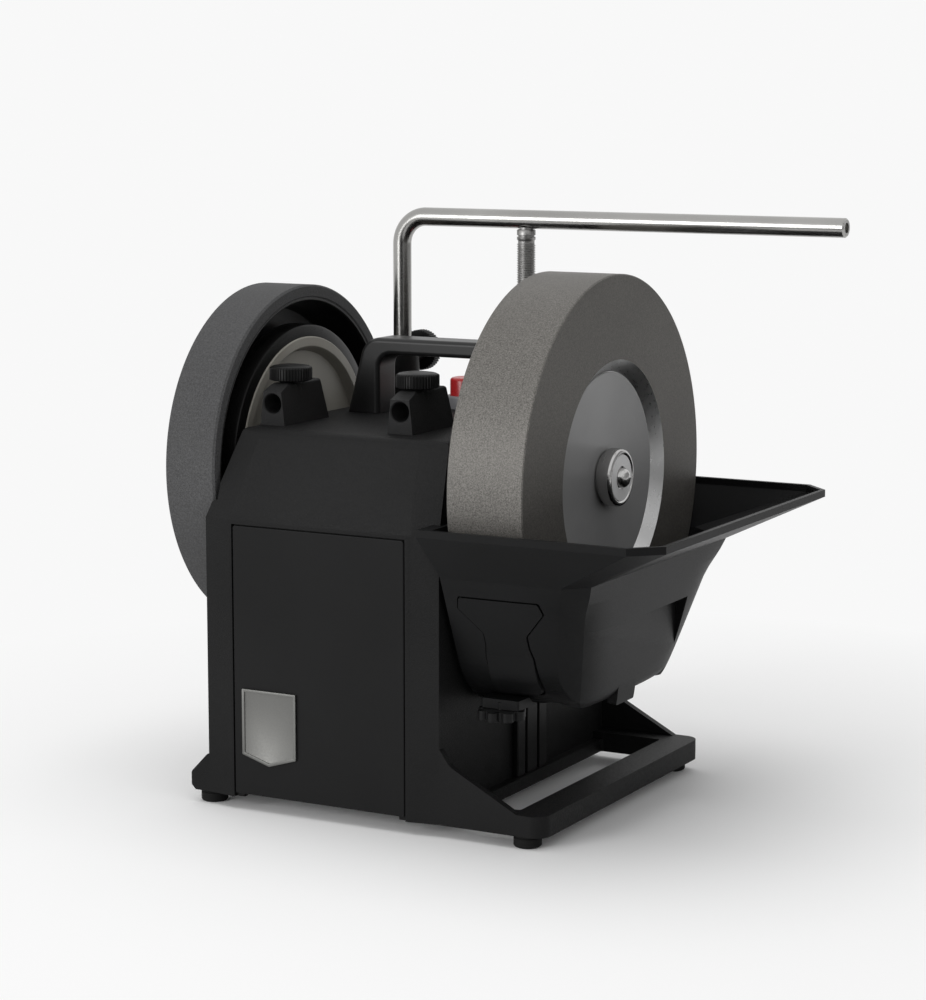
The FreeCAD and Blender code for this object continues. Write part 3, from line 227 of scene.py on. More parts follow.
blackFinishes = {
    "castGrain": {"grain": 0.8, "dark": 0.0066, "light": 0.0092, "tint": (1, 1, 1.02), "smooth": 0.40,
                  "rough": 0.62, "shine": 0.12, "depth": 0.3, "bump": 0.7},
    "sleeveGrain": {"grain": 0.8, "dark": 0.012, "light": 0.017, "tint": (1, 1, 1.02), "smooth": 0.40,
                    "rough": 0.62, "shine": 0.14, "depth": 0.3, "bump": 0.7},
    "panelSatin": {"grain": 0.5, "dark": 0.0085, "light": 0.0105, "tint": (1, 1, 1.02), "smooth": 0.40,
                   "rough": 0.5, "shine": 0.10, "depth": 0.05, "bump": 0.35},
    "handleSatin": {"grain": 0.5, "dark": 0.010, "light": 0.013, "tint": (1, 1, 1.02), "smooth": 0.32,
                    "rough": 0.42, "shine": 0.35, "depth": 0.04, "bump": 0.35},
    "troughMatt": {"grain": 0.45, "dark": 0.004, "light": 0.006, "tint": (0.98, 1, 1.05), "smooth": 0.36,
                   "rough": 0.5, "shine": 0.13, "depth": 0.07, "bump": 0.4},
    "knobNylon": {"grain": 0.4, "dark": 0.005, "light": 0.008, "tint": (1, 1, 1.02), "smooth": 0.32,
                  "rough": 0.46, "shine": 0.14, "depth": 0.05, "bump": 0.4},
    "footRubber": {"grain": 0.6, "dark": 0.008, "light": 0.012, "tint": (1, 1, 1), "smooth": 0.6,
                   "rough": 0.8, "shine": 0.1, "depth": 0.08, "bump": 0.4},
    "tyreBlack": {"grain": 0.6, "dark": 0.004, "light": 0.006, "tint": (1, 1, 1), "smooth": 0.26,
                  "rough": 0.38, "shine": 0.3, "depth": 0.04, "bump": 0.3},
    "hollowBlack": {"grain": 0.6, "dark": 0.008, "light": 0.011, "tint": (1, 1, 1), "smooth": 0.32,
                    "rough": 0.45, "shine": 0.3, "depth": 0.08, "bump": 0.4},
}
blacks = {name: grainedBlack(name, look) for name, look in blackFinishes.items()}


def polishedMetal(name, look):
    material, tree, shader, place = startMaterial(name)
    lines = noiseOn(tree, stretched(tree, place, look["stretch"]), 1.0, **fineNoise["metal"])
    slow = noiseOn(tree, place, **slowNoise["metal"])
    shader.inputs["Metallic"].default_value = 1.0
    tree.links.new(twoTone(tree, slow, gray(look["dark"], look["tint"]), gray(look["light"], look["tint"])),
                   shader.inputs["Base Color"])
    tree.links.new(rangeOf(tree, lines, look["smooth"], look["rough"]), shader.inputs["Roughness"])
    bumpOn(tree, shader, lines, look["depth"], look["bump"])
    return material


metalFinishes = {
    "barSteel": {"stretch": (60, 2500, 2500), "dark": 0.35, "light": 0.41, "tint": (1, 0.99, 0.96),
                 "smooth": 0.2, "rough": 0.28, "depth": 0.01, "bump": 0.25},
    "threadSteel": {"stretch": (500, 500, 500), "dark": 0.30, "light": 0.34, "tint": (1, 0.99, 0.97),
                    "smooth": 0.40, "rough": 0.46, "depth": 0.001, "bump": 0.05},
    "turnedSteel": {"stretch": (2500, 60, 60), "dark": 0.45, "light": 0.55, "tint": (1, 0.99, 0.98),
                    "smooth": 0.16, "rough": 0.28, "depth": 0.015, "bump": 0.3},
    "bevelAlloy": {"stretch": (1200, 300, 300), "dark": 0.56, "light": 0.64, "tint": (1, 1, 1),
                   "smooth": 0.26, "rough": 0.36, "depth": 0.004, "bump": 0.2},
    "platePewter": {"stretch": (900, 900, 900), "dark": 0.12, "light": 0.17, "tint": (1, 1, 0.96),
                    "smooth": 0.36, "rough": 0.55, "depth": 0.05, "bump": 0.5},
    "innerSteel": {"stretch": (800, 800, 800), "dark": 0.35, "light": 0.45, "tint": (1, 1, 1),
                   "smooth": 0.35, "rough": 0.5, "depth": 0.02, "bump": 0.3},
    "bushBronze": {"stretch": (900, 900, 900), "dark": 0.30, "light": 0.40, "tint": (1, 0.72, 0.40),
                   "smooth": 0.3, "rough": 0.45, "depth": 0.03, "bump": 0.3},
}
metals = {name: polishedMetal(name, look) for name, look in metalFinishes.items()}


# Plain colours with a little unevenness: disc, cap, collar, inner mouldings

plasticBump = 0.4


def colouredPlastic(name, look):
    material, tree, shader, place = startMaterial(name)
    speck = noiseOn(tree, place, 1 / (look["grain"] * mm), **fineNoise["plastic"])
    slow = noiseOn(tree, place, **slowNoise["plastic"])
    tone = twoTone(tree, slow, look["dark"], look["light"])
    fine = twoTone(tree, speck, gray(look["speck"]), gray(1.0))
    tree.links.new(multiplied(tree, tone, fine), shader.inputs["Base Color"])
    tree.links.new(rangeOf(tree, speck, look["smooth"], look["rough"]), shader.inputs["Roughness"])
    shader.inputs["Metallic"].default_value = look["metal"]
    shader.inputs["Specular IOR Level"].default_value = look["shine"]
    bumpOn(tree, shader, speck, look["depth"], plasticBump)
    return material


plasticLooks = {
    "redCap": {"grain": 0.5, "dark": (0.42, 0.02, 0.022), "light": (0.50, 0.028, 0.03), "speck": 0.94,
               "smooth": 0.25, "rough": 0.36, "metal": 0.0, "shine": 0.5, "depth": 0.03},
    "collarGrey": {"grain": 0.5, "dark": (0.20, 0.20, 0.21), "light": (0.24, 0.24, 0.25), "speck": 0.92,
                   "smooth": 0.35, "rough": 0.5, "metal": 0.0, "shine": 0.45, "depth": 0.03},
    "ivoryDisc": {"grain": 0.6, "dark": (0.30, 0.285, 0.25), "light": (0.35, 0.335, 0.295), "speck": 0.93,
                  "smooth": 0.35, "rough": 0.5, "metal": 0.0, "shine": 0.45, "depth": 0.04},
    "labelGrey": {"grain": 0.35, "dark": (0.215, 0.215, 0.216), "light": (0.245, 0.245, 0.246),
                  "speck": 0.9, "smooth": 0.36, "rough": 0.48, "metal": 0.12, "shine": 0.4,
                  "depth": 0.015},
    "nutFace": {"grain": 0.4, "dark": (0.62, 0.62, 0.62), "light": (0.70, 0.70, 0.70), "speck": 0.95,
                "smooth": 0.3, "rough": 0.42, "metal": 0.0, "shine": 0.45, "depth": 0.015},
    "innerCream": {"grain": 0.6, "dark": (0.50, 0.48, 0.42), "light": (0.56, 0.54, 0.48), "speck": 0.95,
                   "smooth": 0.4, "rough": 0.55, "metal": 0.0, "shine": 0.4, "depth": 0.03},
}
plastics = {name: colouredPlastic(name, look) for name, look in plasticLooks.items()}


# Bonded abrasive: close-set grit over a metal body

gritTone = {"closeness": 0.55, "darkTo": 0.36, "lightFrom": 0.66, "shade": 0.9}


def gritMaterial(name, look):
    material, tree, shader, place = startMaterial(name)
    grit = tree.nodes.new("ShaderNodeTexVoronoi")
    gritScale = 1 / (look["grit"] * mm)
    grit.inputs["Scale"].default_value = gritScale
    tree.links.new(place, grit.inputs["Vector"])
    fine = noiseOn(tree, place, gritScale * gritTone["closeness"], **fineNoise["grit"])
    slow = noiseOn(tree, place, **slowNoise["grit"])
    coarse = twoTone(tree, fine, look["dark"], look["light"], gritTone["darkTo"], gritTone["lightFrom"])
    shade = twoTone(tree, slow, gray(gritTone["shade"]), gray(1.0))
    tree.links.new(multiplied(tree, coarse, shade), shader.inputs["Base Color"])
    tree.links.new(rangeOf(tree, fine, look["smooth"], look["rough"]), shader.inputs["Roughness"])
    shader.inputs["Metallic"].default_value = look["metal"]
    shader.inputs["Specular IOR Level"].default_value = look["shine"]
    bumpOn(tree, shader, grit.outputs["Distance"], look["depth"], look["bump"])
    return material


gritLooks = {
    "diamondTread": {"grit": 0.45, "dark": (0.075, 0.071, 0.065), "light": (0.21, 0.201, 0.187),
                     "smooth": 0.40, "rough": 0.58, "metal": 0.35, "shine": 0.3, "depth": 0.12,
                     "bump": 0.45},
    # The face grit is the tread's grit made darker: painted shade for the face turned away from the lamps
    "diamondFacePaintedShade": {"grit": 0.45, "dark": (0.052, 0.049, 0.044), "light": (0.135, 0.128, 0.118),
                    "smooth": 0.42, "rough": 0.6, "metal": 0.3, "shine": 0.3, "depth": 0.12,
                    "bump": 0.45},
    "honingTread": {"grit": 0.6, "dark": (0.05, 0.05, 0.0505), "light": (0.094, 0.094, 0.096),
                    "smooth": 0.62, "rough": 0.85, "metal": 0.0, "shine": 0.2, "depth": 0.1, "bump": 0.5},
}
grits = {name: gritMaterial(name, look) for name, look in gritLooks.items()}
print("materials made:", len(blacks) + len(metals) + len(plastics) + len(grits))


# Housing, panels, handle, sleeves and other mouldings: the solid's form with eased edges

softPieces = {
    "housing": {"edge": 1.5, "finish": "castGrain", "slot": "housing_black", "body": "frame"},
    "front_panel": {"edge": 0.7, "finish": "panelSatin", "slot": "panel_black", "body": "frame"},
    "rear_panel": {"edge": 0.7, "finish": "panelSatin", "slot": "panel_black", "body": "frame"},
    "handle": {"edge": 1.4, "finish": "handleSatin", "slot": "panel_black", "body": "frame"},
    "front_sleeve_left": {"edge": 0.8, "finish": "sleeveGrain", "slot": "housing_black", "body": "frame"},
    "front_sleeve_right": {"edge": 0.8, "finish": "sleeveGrain", "slot": "housing_black", "body": "frame"},
    "rear_sleeve_left": {"edge": 0.8, "finish": "sleeveGrain", "slot": "housing_black", "body": "frame"},
    "rear_sleeve_right": {"edge": 0.8, "finish": "sleeveGrain", "slot": "housing_black", "body": "frame"},
    "trough_rail": {"edge": 0.5, "finish": "knobNylon", "slot": "knob_black", "body": "frame"},
    "lift_block": {"edge": 0.8, "finish": "troughMatt", "slot": "trough_black", "body": "water_trough"},
    "lift_knob": {"edge": 0.9, "finish": "knobNylon", "slot": "knob_black", "body": "trough_knob"},
    "cable_gland": {"edge": 0.5, "finish": "knobNylon", "slot": "knob_black", "body": "frame"},
}
for node, look in softPieces.items():
    bm = softCopy(node, look["edge"])
    makePiece(node + "_dressed", bm, blacks[look["finish"]], look["body"], [node],
              "moulded", flatFaces=True)
print("mouldings dressed:", len(softPieces))


# Trough and latch: the leaning walls of the bowl run into each other and into its floor in soft curves

bowlLook = {"crease": 161, "floor": 72, "halfLength": 122, "floorHalfLength": 84.2, "right": 107,
            "floorRight": 84.4, "frontCorner": 13, "rearCorner": 34, "soft": 0.17, "fade": 26, "flatTo": 60,
            "roundFrom": 90, "hold": 25, "grid": 6,
            "cuts": {"x": (62, 110), "y": (-122, 122), "z": (70, 160)}}
footSwell = {"top": 112.2, "length": 18, "rise": 1.6, "skin": 1.2}
bowlPieces = {
    "trough": {"edge": 1.0, "body": "water_trough"},
    "trough_latch": {"edge": 0.5, "body": "latch"},
}


# An eased step from 0 to 1
def share(value, start, end):
    part = min(max((value - start) / (end - start), 0), 1)
    return part * part * (3 - 2 * part)


# Cuts across the flat walls give them points to bend at
def fineGrid(bm):
    for axis, (start, end) in bowlLook["cuts"].items():
        for number in range(round((end - start) / bowlLook["grid"]) + 1):
            place = axes[axis] * (start + number * bowlLook["grid"]) * mm
            bmesh.ops.bisect_plane(bm, geom=bm.verts[:] + bm.edges[:] + bm.faces[:], dist=cutGap,
                                   plane_co=place, plane_no=axes[axis])


def bowlWalls():
    rise = bowlLook["crease"] - bowlLook["floor"]
    leanY = bowlLook["halfLength"] - bowlLook["floorHalfLength"]
    leanX = bowlLook["right"] - bowlLook["floorRight"]
    walls = [(Vector((rise, 0, -leanX)), Vector((bowlLook["right"], 0, bowlLook["crease"])))]
    for side, corner in ((-1, bowlLook["frontCorner"]), (1, bowlLook["rearCorner"])):
        end = side * bowlLook["halfLength"]
        walls.append((Vector((0, side * rise, -leanY)), Vector((0, end, bowlLook["crease"]))))
        walls.append((Vector((rise, side * rise, -leanX - leanY)),
                      Vector((bowlLook["right"], end - side * corner, bowlLook["crease"]))))
    return [(normal.normalized(), point) for normal, point in walls]


# A soft maximum of the distances to the walls pulls corners in and leaves the middle of a wall
def roundBowl(bm):
    walls = bowlWalls()
    down = Vector((0, 0, -1))
    soft = bowlLook["soft"]
    for vert in bm.verts:
        place = vert.co / mm
        held = bowlLook["hold"] * (1 - share(place.x, bowlLook["flatTo"], bowlLook["roundFrom"]))
        depths = [(normal, normal.dot(place - point)) for normal, point in walls]
        depths.append((down, bowlLook["floor"] - place.z - held))
        most = max(depth for normal, depth in depths)
        parts = [(normal, math.exp(soft * (depth - most))) for normal, depth in depths]
        inwards = -sum((normal * part for normal, part in parts), Vector()).normalized()
        amount = math.log(sum(part for normal, part in parts)) / soft
        vert.co += inwards * amount * share(bowlLook["crease"] - place.z, 0, bowlLook["fade"]) * mm


# The latch's foot swells out of its plate over a length, not at a step
def softenFoot(bm):
    normal, point = bowlWalls()[1]
    for vert in bm.verts:
        place = vert.co / mm
        depth = footSwell["top"] - place.z
        if normal.dot(place - point) > footSwell["skin"] and depth > 0:
            vert.co -= normal * footSwell["rise"] * (1 - share(depth, 0, footSwell["length"])) * mm


for node, look in bowlPieces.items():
    bm = softCopy(node, look["edge"])
    fineGrid(bm)
    if node == "trough_latch":
        softenFoot(bm)
    roundBowl(bm)
    makePiece(node + "_dressed", bm, blacks["troughMatt"], look["body"], [node],
              "moulded", flatFaces=True)
print("trough rounded")


# Grinding wheel: grit over tread and face, the face's grit darkened as painted shade, bright bevel inside
# the face, grey disc in the recess

shaftLine = (0, 0, 209)
wheelLook = {"recess": 72.5, "bevel": 7.5, "depth": 7.0, "edge": 0.7, "bore": 6.0, "steps": 256}


def makeWheel():
    low, high = boxOf("grinding_wheel")
    left, right = low.x, high.x
    radius = (high.z - low.z) / 2
    recess = wheelLook["recess"]
    floor = right - wheelLook["depth"]
    edge = wheelLook["edge"]
    tread = [(right, radius - edge), (right - edge, radius), (left + edge, radius), (left, radius - edge)]
    steps = wheelLook["steps"]
    makePiece("wheelTread", turned(tread, shaftLine, "x", steps), grits["diamondTread"], "wheel_shaft",
              ["grinding_wheel"], "tread")
    sides = turned([(right, recess), (right, radius - edge)], shaftLine, "x", steps)
    addShape(sides, turned([(left, radius - edge), (left, recess)], shaftLine, "x", steps))
    # The sides take the darker face grit, which is painted shade
    makePiece("wheelSides", sides, grits["diamondFacePaintedShade"], "wheel_shaft", ["grinding_wheel"])
    core = [(left, recess), (left, wheelLook["bore"]), (floor, wheelLook["bore"]),
            (floor, recess - wheelLook["bevel"]), (right, recess)]
    makePiece("wheelCore", turned(core, shaftLine, "x", steps), metals["bevelAlloy"], "wheel_shaft",
              ["grinding_wheel"], "bevel")


discLook = {"rim": [(0.3, 0), (0, 0.3), (0, 2.2), (0.15, 2.5)], "sink": 0.15, "bore": 6.2, "steps": 192}


def makeFaceDisc():
    low, high = boxOf("face_disc")
    radius = (high.z - low.z) / 2
    profile = [(low.x, radius), *fromHigh(discLook["rim"], high.x, radius),
               (high.x - discLook["sink"], discLook["bore"])]
    disc = turned(profile, shaftLine, "x", discLook["steps"])
    makePiece("faceDisc", disc, plastics["labelGrey"], "wheel_shaft", ["face_disc"])


nutLook = {"bore": 6.05, "back": [(0, 1.5), (2, 1.5), (2.5, 0)], "steps": 128, "soften": 0.25, "seat": 0.9,
           "front": [(1.8, 0), (0.5, 0.7), (0, 1.8), (0, 2.6), (0.9, 3.4)]}
nutFaceLook = {"outer": [(0.9, 3.6), (0.5, 3.8)], "inner": [(0.5, -1.2), (0.9, -1.0)], "steps": 96}


def makeLockNut():
    low, high = boxOf("lock_nut")
    radius = (high.z - low.z) / 2
    left, right = low.x, high.x
    bore = nutLook["bore"]
    profile = [(left, bore), *fromLow(nutLook["back"], left, radius),
               *fromHigh(nutLook["front"], right, radius), (right - nutLook["seat"], bore)]
    nut = turned(profile, shaftLine, "x", nutLook["steps"], closed=True, soften=nutLook["soften"])
    makePiece("lockNut", nut, metals["turnedSteel"], "wheel_nut", ["lock_nut"])
    ring = fromHigh(nutFaceLook["outer"], right, radius) + fromHigh(nutFaceLook["inner"], right, bore)
    face = turned(ring, shaftLine, "x", nutFaceLook["steps"])
    makePiece("lockNutFace", face, plastics["nutFace"], "wheel_nut", ["lock_nut"])


shaftLook = {"tail": [(0, 1), (1, 0)], "nose": [(3, 0), (1.8, 0.7), (0.7, 2), (0.15, 3.6)], "steps": 64}


def makeShaft():
    low, high = boxOf("main_shaft")
    radius = (high.z - low.z) / 2
    profile = [(low.x, 0), *fromLow(shaftLook["tail"], low.x, radius),
               *fromHigh(shaftLook["nose"], high.x, radius), (high.x, 0)]
    shaft = turned(profile, shaftLine, "x", shaftLook["steps"])
    makePiece("shaftBody", shaft, metals["turnedSteel"], "wheel_shaft", ["main_shaft"])


makeWheel()
makeFaceDisc()
makeLockNut()
makeShaft()
print("grinding side done")


# Honing wheel: grey tread band on a black dished core, ivory drive disc with its tyre

honingLook = {"band": 8.2, "web": 6.0, "dish": 3.0, "bore": 6.0, "hub": 16.0, "flare": 3, "steps": 256,
              "lip": [(0.6, 0), (0, -0.8)], "corner": [(0, 1.2), (1.2, 0)],
              "bead": [(0.9, -0.2), (0.5, 0.6), (0.7, 1.6), (1.6, 2.3), (3.0, 2.5), (4.5, 2.6)],
              "webRoot": [(-1, 7), (0, 8)], "backRim": [(3.0, 5), (0.4, 2), (0.4, -0.2)]}


def makeHoningWheel():
    low, high = boxOf("honing_wheel")
    left, right = low.x, high.x
    radius = (high.z - low.z) / 2
    inner = radius - honingLook["band"]
    webRight = left + honingLook["dish"] + honingLook["web"]
    lip, corner = honingLook["lip"], honingLook["corner"]
    band = [*fromHigh(lip, right, inner), *fromHigh(corner, right, radius),
            *fromLow(corner[::-1], left, radius), *fromLow(lip[::-1], left, inner)]
    tread = turned(band, shaftLine, "x", honingLook["steps"], closed=True)
    makePiece("honingTreadBand", tread, grits["honingTread"], "wheel_shaft", ["honing_wheel"])
    bore, hub = honingLook["bore"], honingLook["hub"]
    dished = [*fromHigh(honingLook["bead"], right, inner),
              *fromHigh(honingLook["webRoot"], webRight, inner),
              (webRight, bore), (left, bore), (left, hub),
              (left + honingLook["dish"], hub + honingLook["flare"]),
              *fromLow(honingLook["backRim"], left, inner)]
    core = turned(dished, shaftLine, "x", honingLook["steps"], closed=True)
    makePiece("honingCore", core, blacks["hollowBlack"], "wheel_shaft", ["honing_wheel"])


tyreLook = {"thickness": 8, "shoulder": [(0, 2), (0.6, 0.6), (2, 0)], "steps": 192}


def makeTyre():
    low, high = boxOf("drive_tyre")
    outer = (high.z - low.z) / 2
    left, right = low.x, high.x
    inner = outer - tyreLook["thickness"]
    shoulder = tyreLook["shoulder"]
    profile = [(left, inner), *fromLow(shoulder, left, outer),
               *fromHigh(shoulder[::-1], right, outer), (right, inner)]
    tyre = turned(profile, shaftLine, "x", tyreLook["steps"], closed=True)
    makePiece("driveTyre", tyre, blacks["tyreBlack"], "wheel_shaft", ["drive_tyre"])


driveDiscEdge = 0.5
steelEdges = {"honing_nut": 0.4, "honing_washer": 0.3, "inner_flange": 0.4}
makeHoningWheel()
makePiece("driveDisc", softCopy("drive_disc", driveDiscEdge), plastics["ivoryDisc"], "wheel_shaft",
          ["drive_disc"], "moulded", flatFaces=True)
makeTyre()
for node, edge in steelEdges.items():
    makePiece(node + "_dressed", softCopy(node, edge), metals["turnedSteel"], "wheel_shaft", [node])
print("honing side done")


# Tool support: bent polished bar, threaded leg, adjusting nut

barLook = {"bend": 18.0, "sides": 64, "bendSteps": 28, "endChamfer": 0.9, "endRecess": 3.2,
           "recessDepth": 2.5}


def makeSupportBar():
    low, high = boxOf("support_bar")
    radius = (high.y - low.y) / 2
    middleY = (low.y + high.y) / 2
    legX = low.x + radius
    top = high.z - radius
    bend = barLook["bend"]
    chamfer = barLook["endChamfer"]
    bm = bmesh.new()
    foot = Matrix.Translation(Vector((legX, middleY, low.z)) * mm)
    ring = bmesh.ops.create_circle(bm, cap_ends=True, radius=(radius - chamfer) * mm,
                                   segments=barLook["sides"], matrix=foot)["verts"]
    edges = list({edge for vert in ring for edge in vert.link_edges})

    # Draws a ring of edges on, moved and scaled about a point
    def extend(edges, shift=None, scale=None, about=None):
        made = bmesh.ops.extrude_edge_only(bm, edges=edges)["geom"]
        verts = [item for item in made if isinstance(item, bmesh.types.BMVert)]
        if shift:
            bmesh.ops.translate(bm, verts=verts, vec=Vector(shift) * mm)
        if scale:
            space = Matrix.Translation(-Vector(about) * mm)
            bmesh.ops.scale(bm, verts=verts, vec=scale, space=space)
        return [edge for edge in made if isinstance(edge, bmesh.types.BMEdge)
                and all(vert in verts for vert in edge.verts)]

    wide = radius / (radius - chamfer)
    edges = extend(edges, (0, 0, chamfer), (wide, wide, 1), (legX, middleY, low.z))
    edges = extend(edges, (0, 0, top - bend - low.z - chamfer))
    made = bmesh.ops.spin(bm, geom=edges + list({vert for edge in edges for vert in edge.verts}),
                          cent=Vector((legX + bend, middleY, top - bend)) * mm, axis=(0, 1, 0),
                          dvec=(0, 0, 0), angle=math.pi / 2, steps=barLook["bendSteps"], use_merge=False,
                          use_duplicate=False)
    edges = [item for item in made["geom_last"] if isinstance(item, bmesh.types.BMEdge)]
    edges = extend(edges, (high.x - chamfer - legX - bend, 0, 0))
    endCentre = (high.x, middleY, top)
    edges = extend(edges, (chamfer, 0, 0), (1, 1 / wide, 1 / wide), endCentre)
    narrow = barLook["endRecess"] / (radius - chamfer)
    edges = extend(edges, None, (1, narrow, narrow), endCentre)
    edges = extend(edges, (-barLook["recessDepth"], 0, 0))
    bmesh.ops.contextual_create(bm, geom=edges)
    bmesh.ops.remove_doubles(bm, verts=bm.verts, dist=weldGap)
    bmesh.ops.recalc_face_normals(bm, faces=bm.faces)
    makePiece("supportBar", bm, metals["barSteel"], "support", ["support_bar"])


threadLook = {"pitch": 1.5, "depth": 0.75, "sides": 40, "neck": 4.5, "neckLength": 0.4, "neckOverlap": 1.0,
              "collar": 7.0, "start": 1.0, "runOut": 2.0, "coreOverlap": 2.5, "coreRise": 0.1,
              "tooth": [(0, 0), (0.05, 0.2), (0.75, 0.62), (0.75, 0.88), (0.05, 1.3), (0, 1.5)],
              "tip": [(0, 0.9), (0.8, 0), (3.5, 0)], "collarChamfer": 0.6,
              "collarFoot": [(0, 0.6), (0.6, 0), (2.2, 0), (2.5, 0.8), (3.1, 0.8), (3.4, 0)],
              "collarTop": [(0.6, 0), (0, 0.6)]}


def makeThreadedLeg():
    low, high = boxOf("threaded_leg")
    radius = (high.x - low.x) / 2
    x, y = (low.x + high.x) / 2, (low.y + high.y) / 2
    barBottom = boxOf("support_bar")[1].z - 2 * radius
    neckBottom = barBottom - threadLook["neckLength"]
    collarBottom = neckBottom - threadLook["collar"]
    threadTop = collarBottom - threadLook["runOut"]
    turns = int((threadTop - low.z - threadLook["start"]) / threadLook["pitch"])
    root = radius - threadLook["depth"]
    coreRadius = root + threadLook["coreRise"]
    centre = (x, y, 0)
    bm = bmesh.new()
    start = Vector((x, y, low.z + threadLook["start"]))
    points = [bm.verts.new((start + Vector((root + out, 0, rise))) * mm)
              for out, rise in threadLook["tooth"]]
    edges = [bm.edges.new(pair) for pair in zip(points, points[1:])]
    steps = turns * threadLook["sides"]
    bmesh.ops.spin(bm, geom=points + edges, cent=start * mm, axis=(0, 0, 1),
                   dvec=(0, 0, threadLook["pitch"] * mm / threadLook["sides"]), angle=2 * math.pi * turns,
                   steps=steps, use_merge=False, use_duplicate=False)
    bmesh.ops.remove_doubles(bm, verts=bm.verts, dist=wideWeldGap)
    bmesh.ops.recalc_face_normals(bm, faces=bm.faces)
    tip = [(low.z, 0), *fromLow(threadLook["tip"], low.z, coreRadius)]
    top = [(threadTop - threadLook["coreOverlap"], coreRadius),
           (collarBottom - threadLook["collarChamfer"], coreRadius),
           *fromLow(threadLook["collarFoot"], collarBottom, radius),
           *fromHigh(threadLook["collarTop"], neckBottom, radius), (neckBottom, threadLook["neck"]),
           (barBottom + threadLook["neckOverlap"], threadLook["neck"])]
    addShape(bm, turned(tip, centre, "z", threadLook["sides"]))
    addShape(bm, turned(top, centre, "z", threadLook["sides"]))
    makePiece("threadedLeg", bm, metals["threadSteel"], "support", ["threaded_leg"], "thread")


# Ribbed turning parts share one way: spin the form, then press every other pair of rim columns inwards

columnsPerRib = 4


def pressRibs(bm, centre, axis, innerRadius, depth, ribs):
    along = axes[axis]
    side = axes["x"] if axis == "z" else axes["z"]
    across = along.cross(side)
    for vert in bm.verts:
        off = vert.co / mm - Vector(centre)
        flat = off - along * off.dot(along)
        if flat.length < innerRadius:
            continue
        turn = math.atan2(flat.dot(across), flat.dot(side)) / (2 * math.pi)
        if round(turn * ribs * columnsPerRib) % columnsPerRib in (2, 3):
            vert.co -= flat.normalized() * depth * mm


knobLook = {"ribs": 44, "ribDepth": 0.7, "ribFrom": 0.5, "neck": 5.0, "neckHeight": 0.5, "height": 10.2,
            "stud": 3.0, "studTip": [(0, 0.5), (0.5, 0)], "foot": [(0, 1.6), (0.25, 1.1), (0.6, 0)],
            "crown": [(2.6, 0), (2.0, 0.3), (1.5, 1.2), (1.15, 1.9), (1.0, 2.4)],
            "domeDrop": 0.35, "domeShare": 0.5}


def knobProfile(start, radius, height, stud):
    rim = start + height
    neck = start + knobLook["neckHeight"]
    return [(start - stud, 0), *fromLow(knobLook["studTip"], start - stud, knobLook["stud"]),
            (start, knobLook["stud"]), (start, knobLook["neck"]), (neck, knobLook["neck"]),
            *fromLow(knobLook["foot"], neck, radius), *fromHigh(knobLook["crown"], rim, radius),
            (rim - knobLook["domeDrop"], radius * knobLook["domeShare"]), (rim, 0)]


def makeKnob(node, body, axis):
    low, high = boxOf(node)
    lowEnd, highEnd = (low.z, high.z) if axis == "z" else (low.y, high.y)
    radius = (high.x - low.x) / 2
    x = (low.x + high.x) / 2
    centre = (x, (low.y + high.y) / 2, 0) if axis == "z" else (x, 0, (low.z + high.z) / 2)
    height = knobLook["neckHeight"] + knobLook["height"]
    start = highEnd - height
    profile = knobProfile(start, radius, height, start - lowEnd)
    bm = turned(profile, centre, axis, knobLook["ribs"] * columnsPerRib)
    pressRibs(bm, centre, axis, radius - knobLook["ribFrom"], knobLook["ribDepth"], knobLook["ribs"])
    makePiece(node + "_ribbed", bm, blacks["knobNylon"], body, [node], "moulded")


microLook = {"ribs": 40, "ribDepth": 0.6, "ribFrom": 0.4, "bore": 6.1, "sink": 0.6,
             "foot": [(0, 3), (2, 2.4), (2.6, 1.2), (3, 0)],
             "crown": [(1.2, 0), (0.6, 0.9), (0, 1.8), (0, 5), (0.6, 5.6)]}


def makeMicroNut():
    low, high = boxOf("micro_adjust_nut")
    radius = (high.x - low.x) / 2
    centre = ((low.x + high.x) / 2, (low.y + high.y) / 2, 0)
    profile = [(low.z, microLook["bore"]), *fromLow(microLook["foot"], low.z, radius),
               *fromHigh(microLook["crown"], high.z, radius),
               (high.z - microLook["sink"], microLook["bore"])]
    bm = turned(profile, centre, "z", microLook["ribs"] * columnsPerRib, closed=True)
    pressRibs(bm, centre, "z", radius - microLook["ribFrom"], microLook["ribDepth"], microLook["ribs"])
    makePiece("microNut", bm, blacks["knobNylon"], "micro_nut", ["micro_adjust_nut"],
              "moulded")


makeSupportBar()
makeThreadedLeg()
makeMicroNut()
for side in ("left", "right"):
    makeKnob("front_knob_" + side, "front_" + side + "_knob", "z")
    makeKnob("rear_knob_" + side, "rear_" + side + "_knob", "y")
print("tool support done")


# Red push cap on its grey collar

capLook = {"stem": 6.5, "skirt": 3.3, "rim": [(2.6, 0), (1.6, 0.35), (0.9, 1.2), (0.6, 2.2)],
           "hollowShare": 0.55, "hollowEdge": 0.9, "hollowDepth": 1.1, "steps": 96}
collarLook = {"play": 0.3, "taper": 1, "rim": [(1.6, 0), (0.6, 0.25), (0, 0.9)], "chamfer": 0.4,
              "steps": 96}


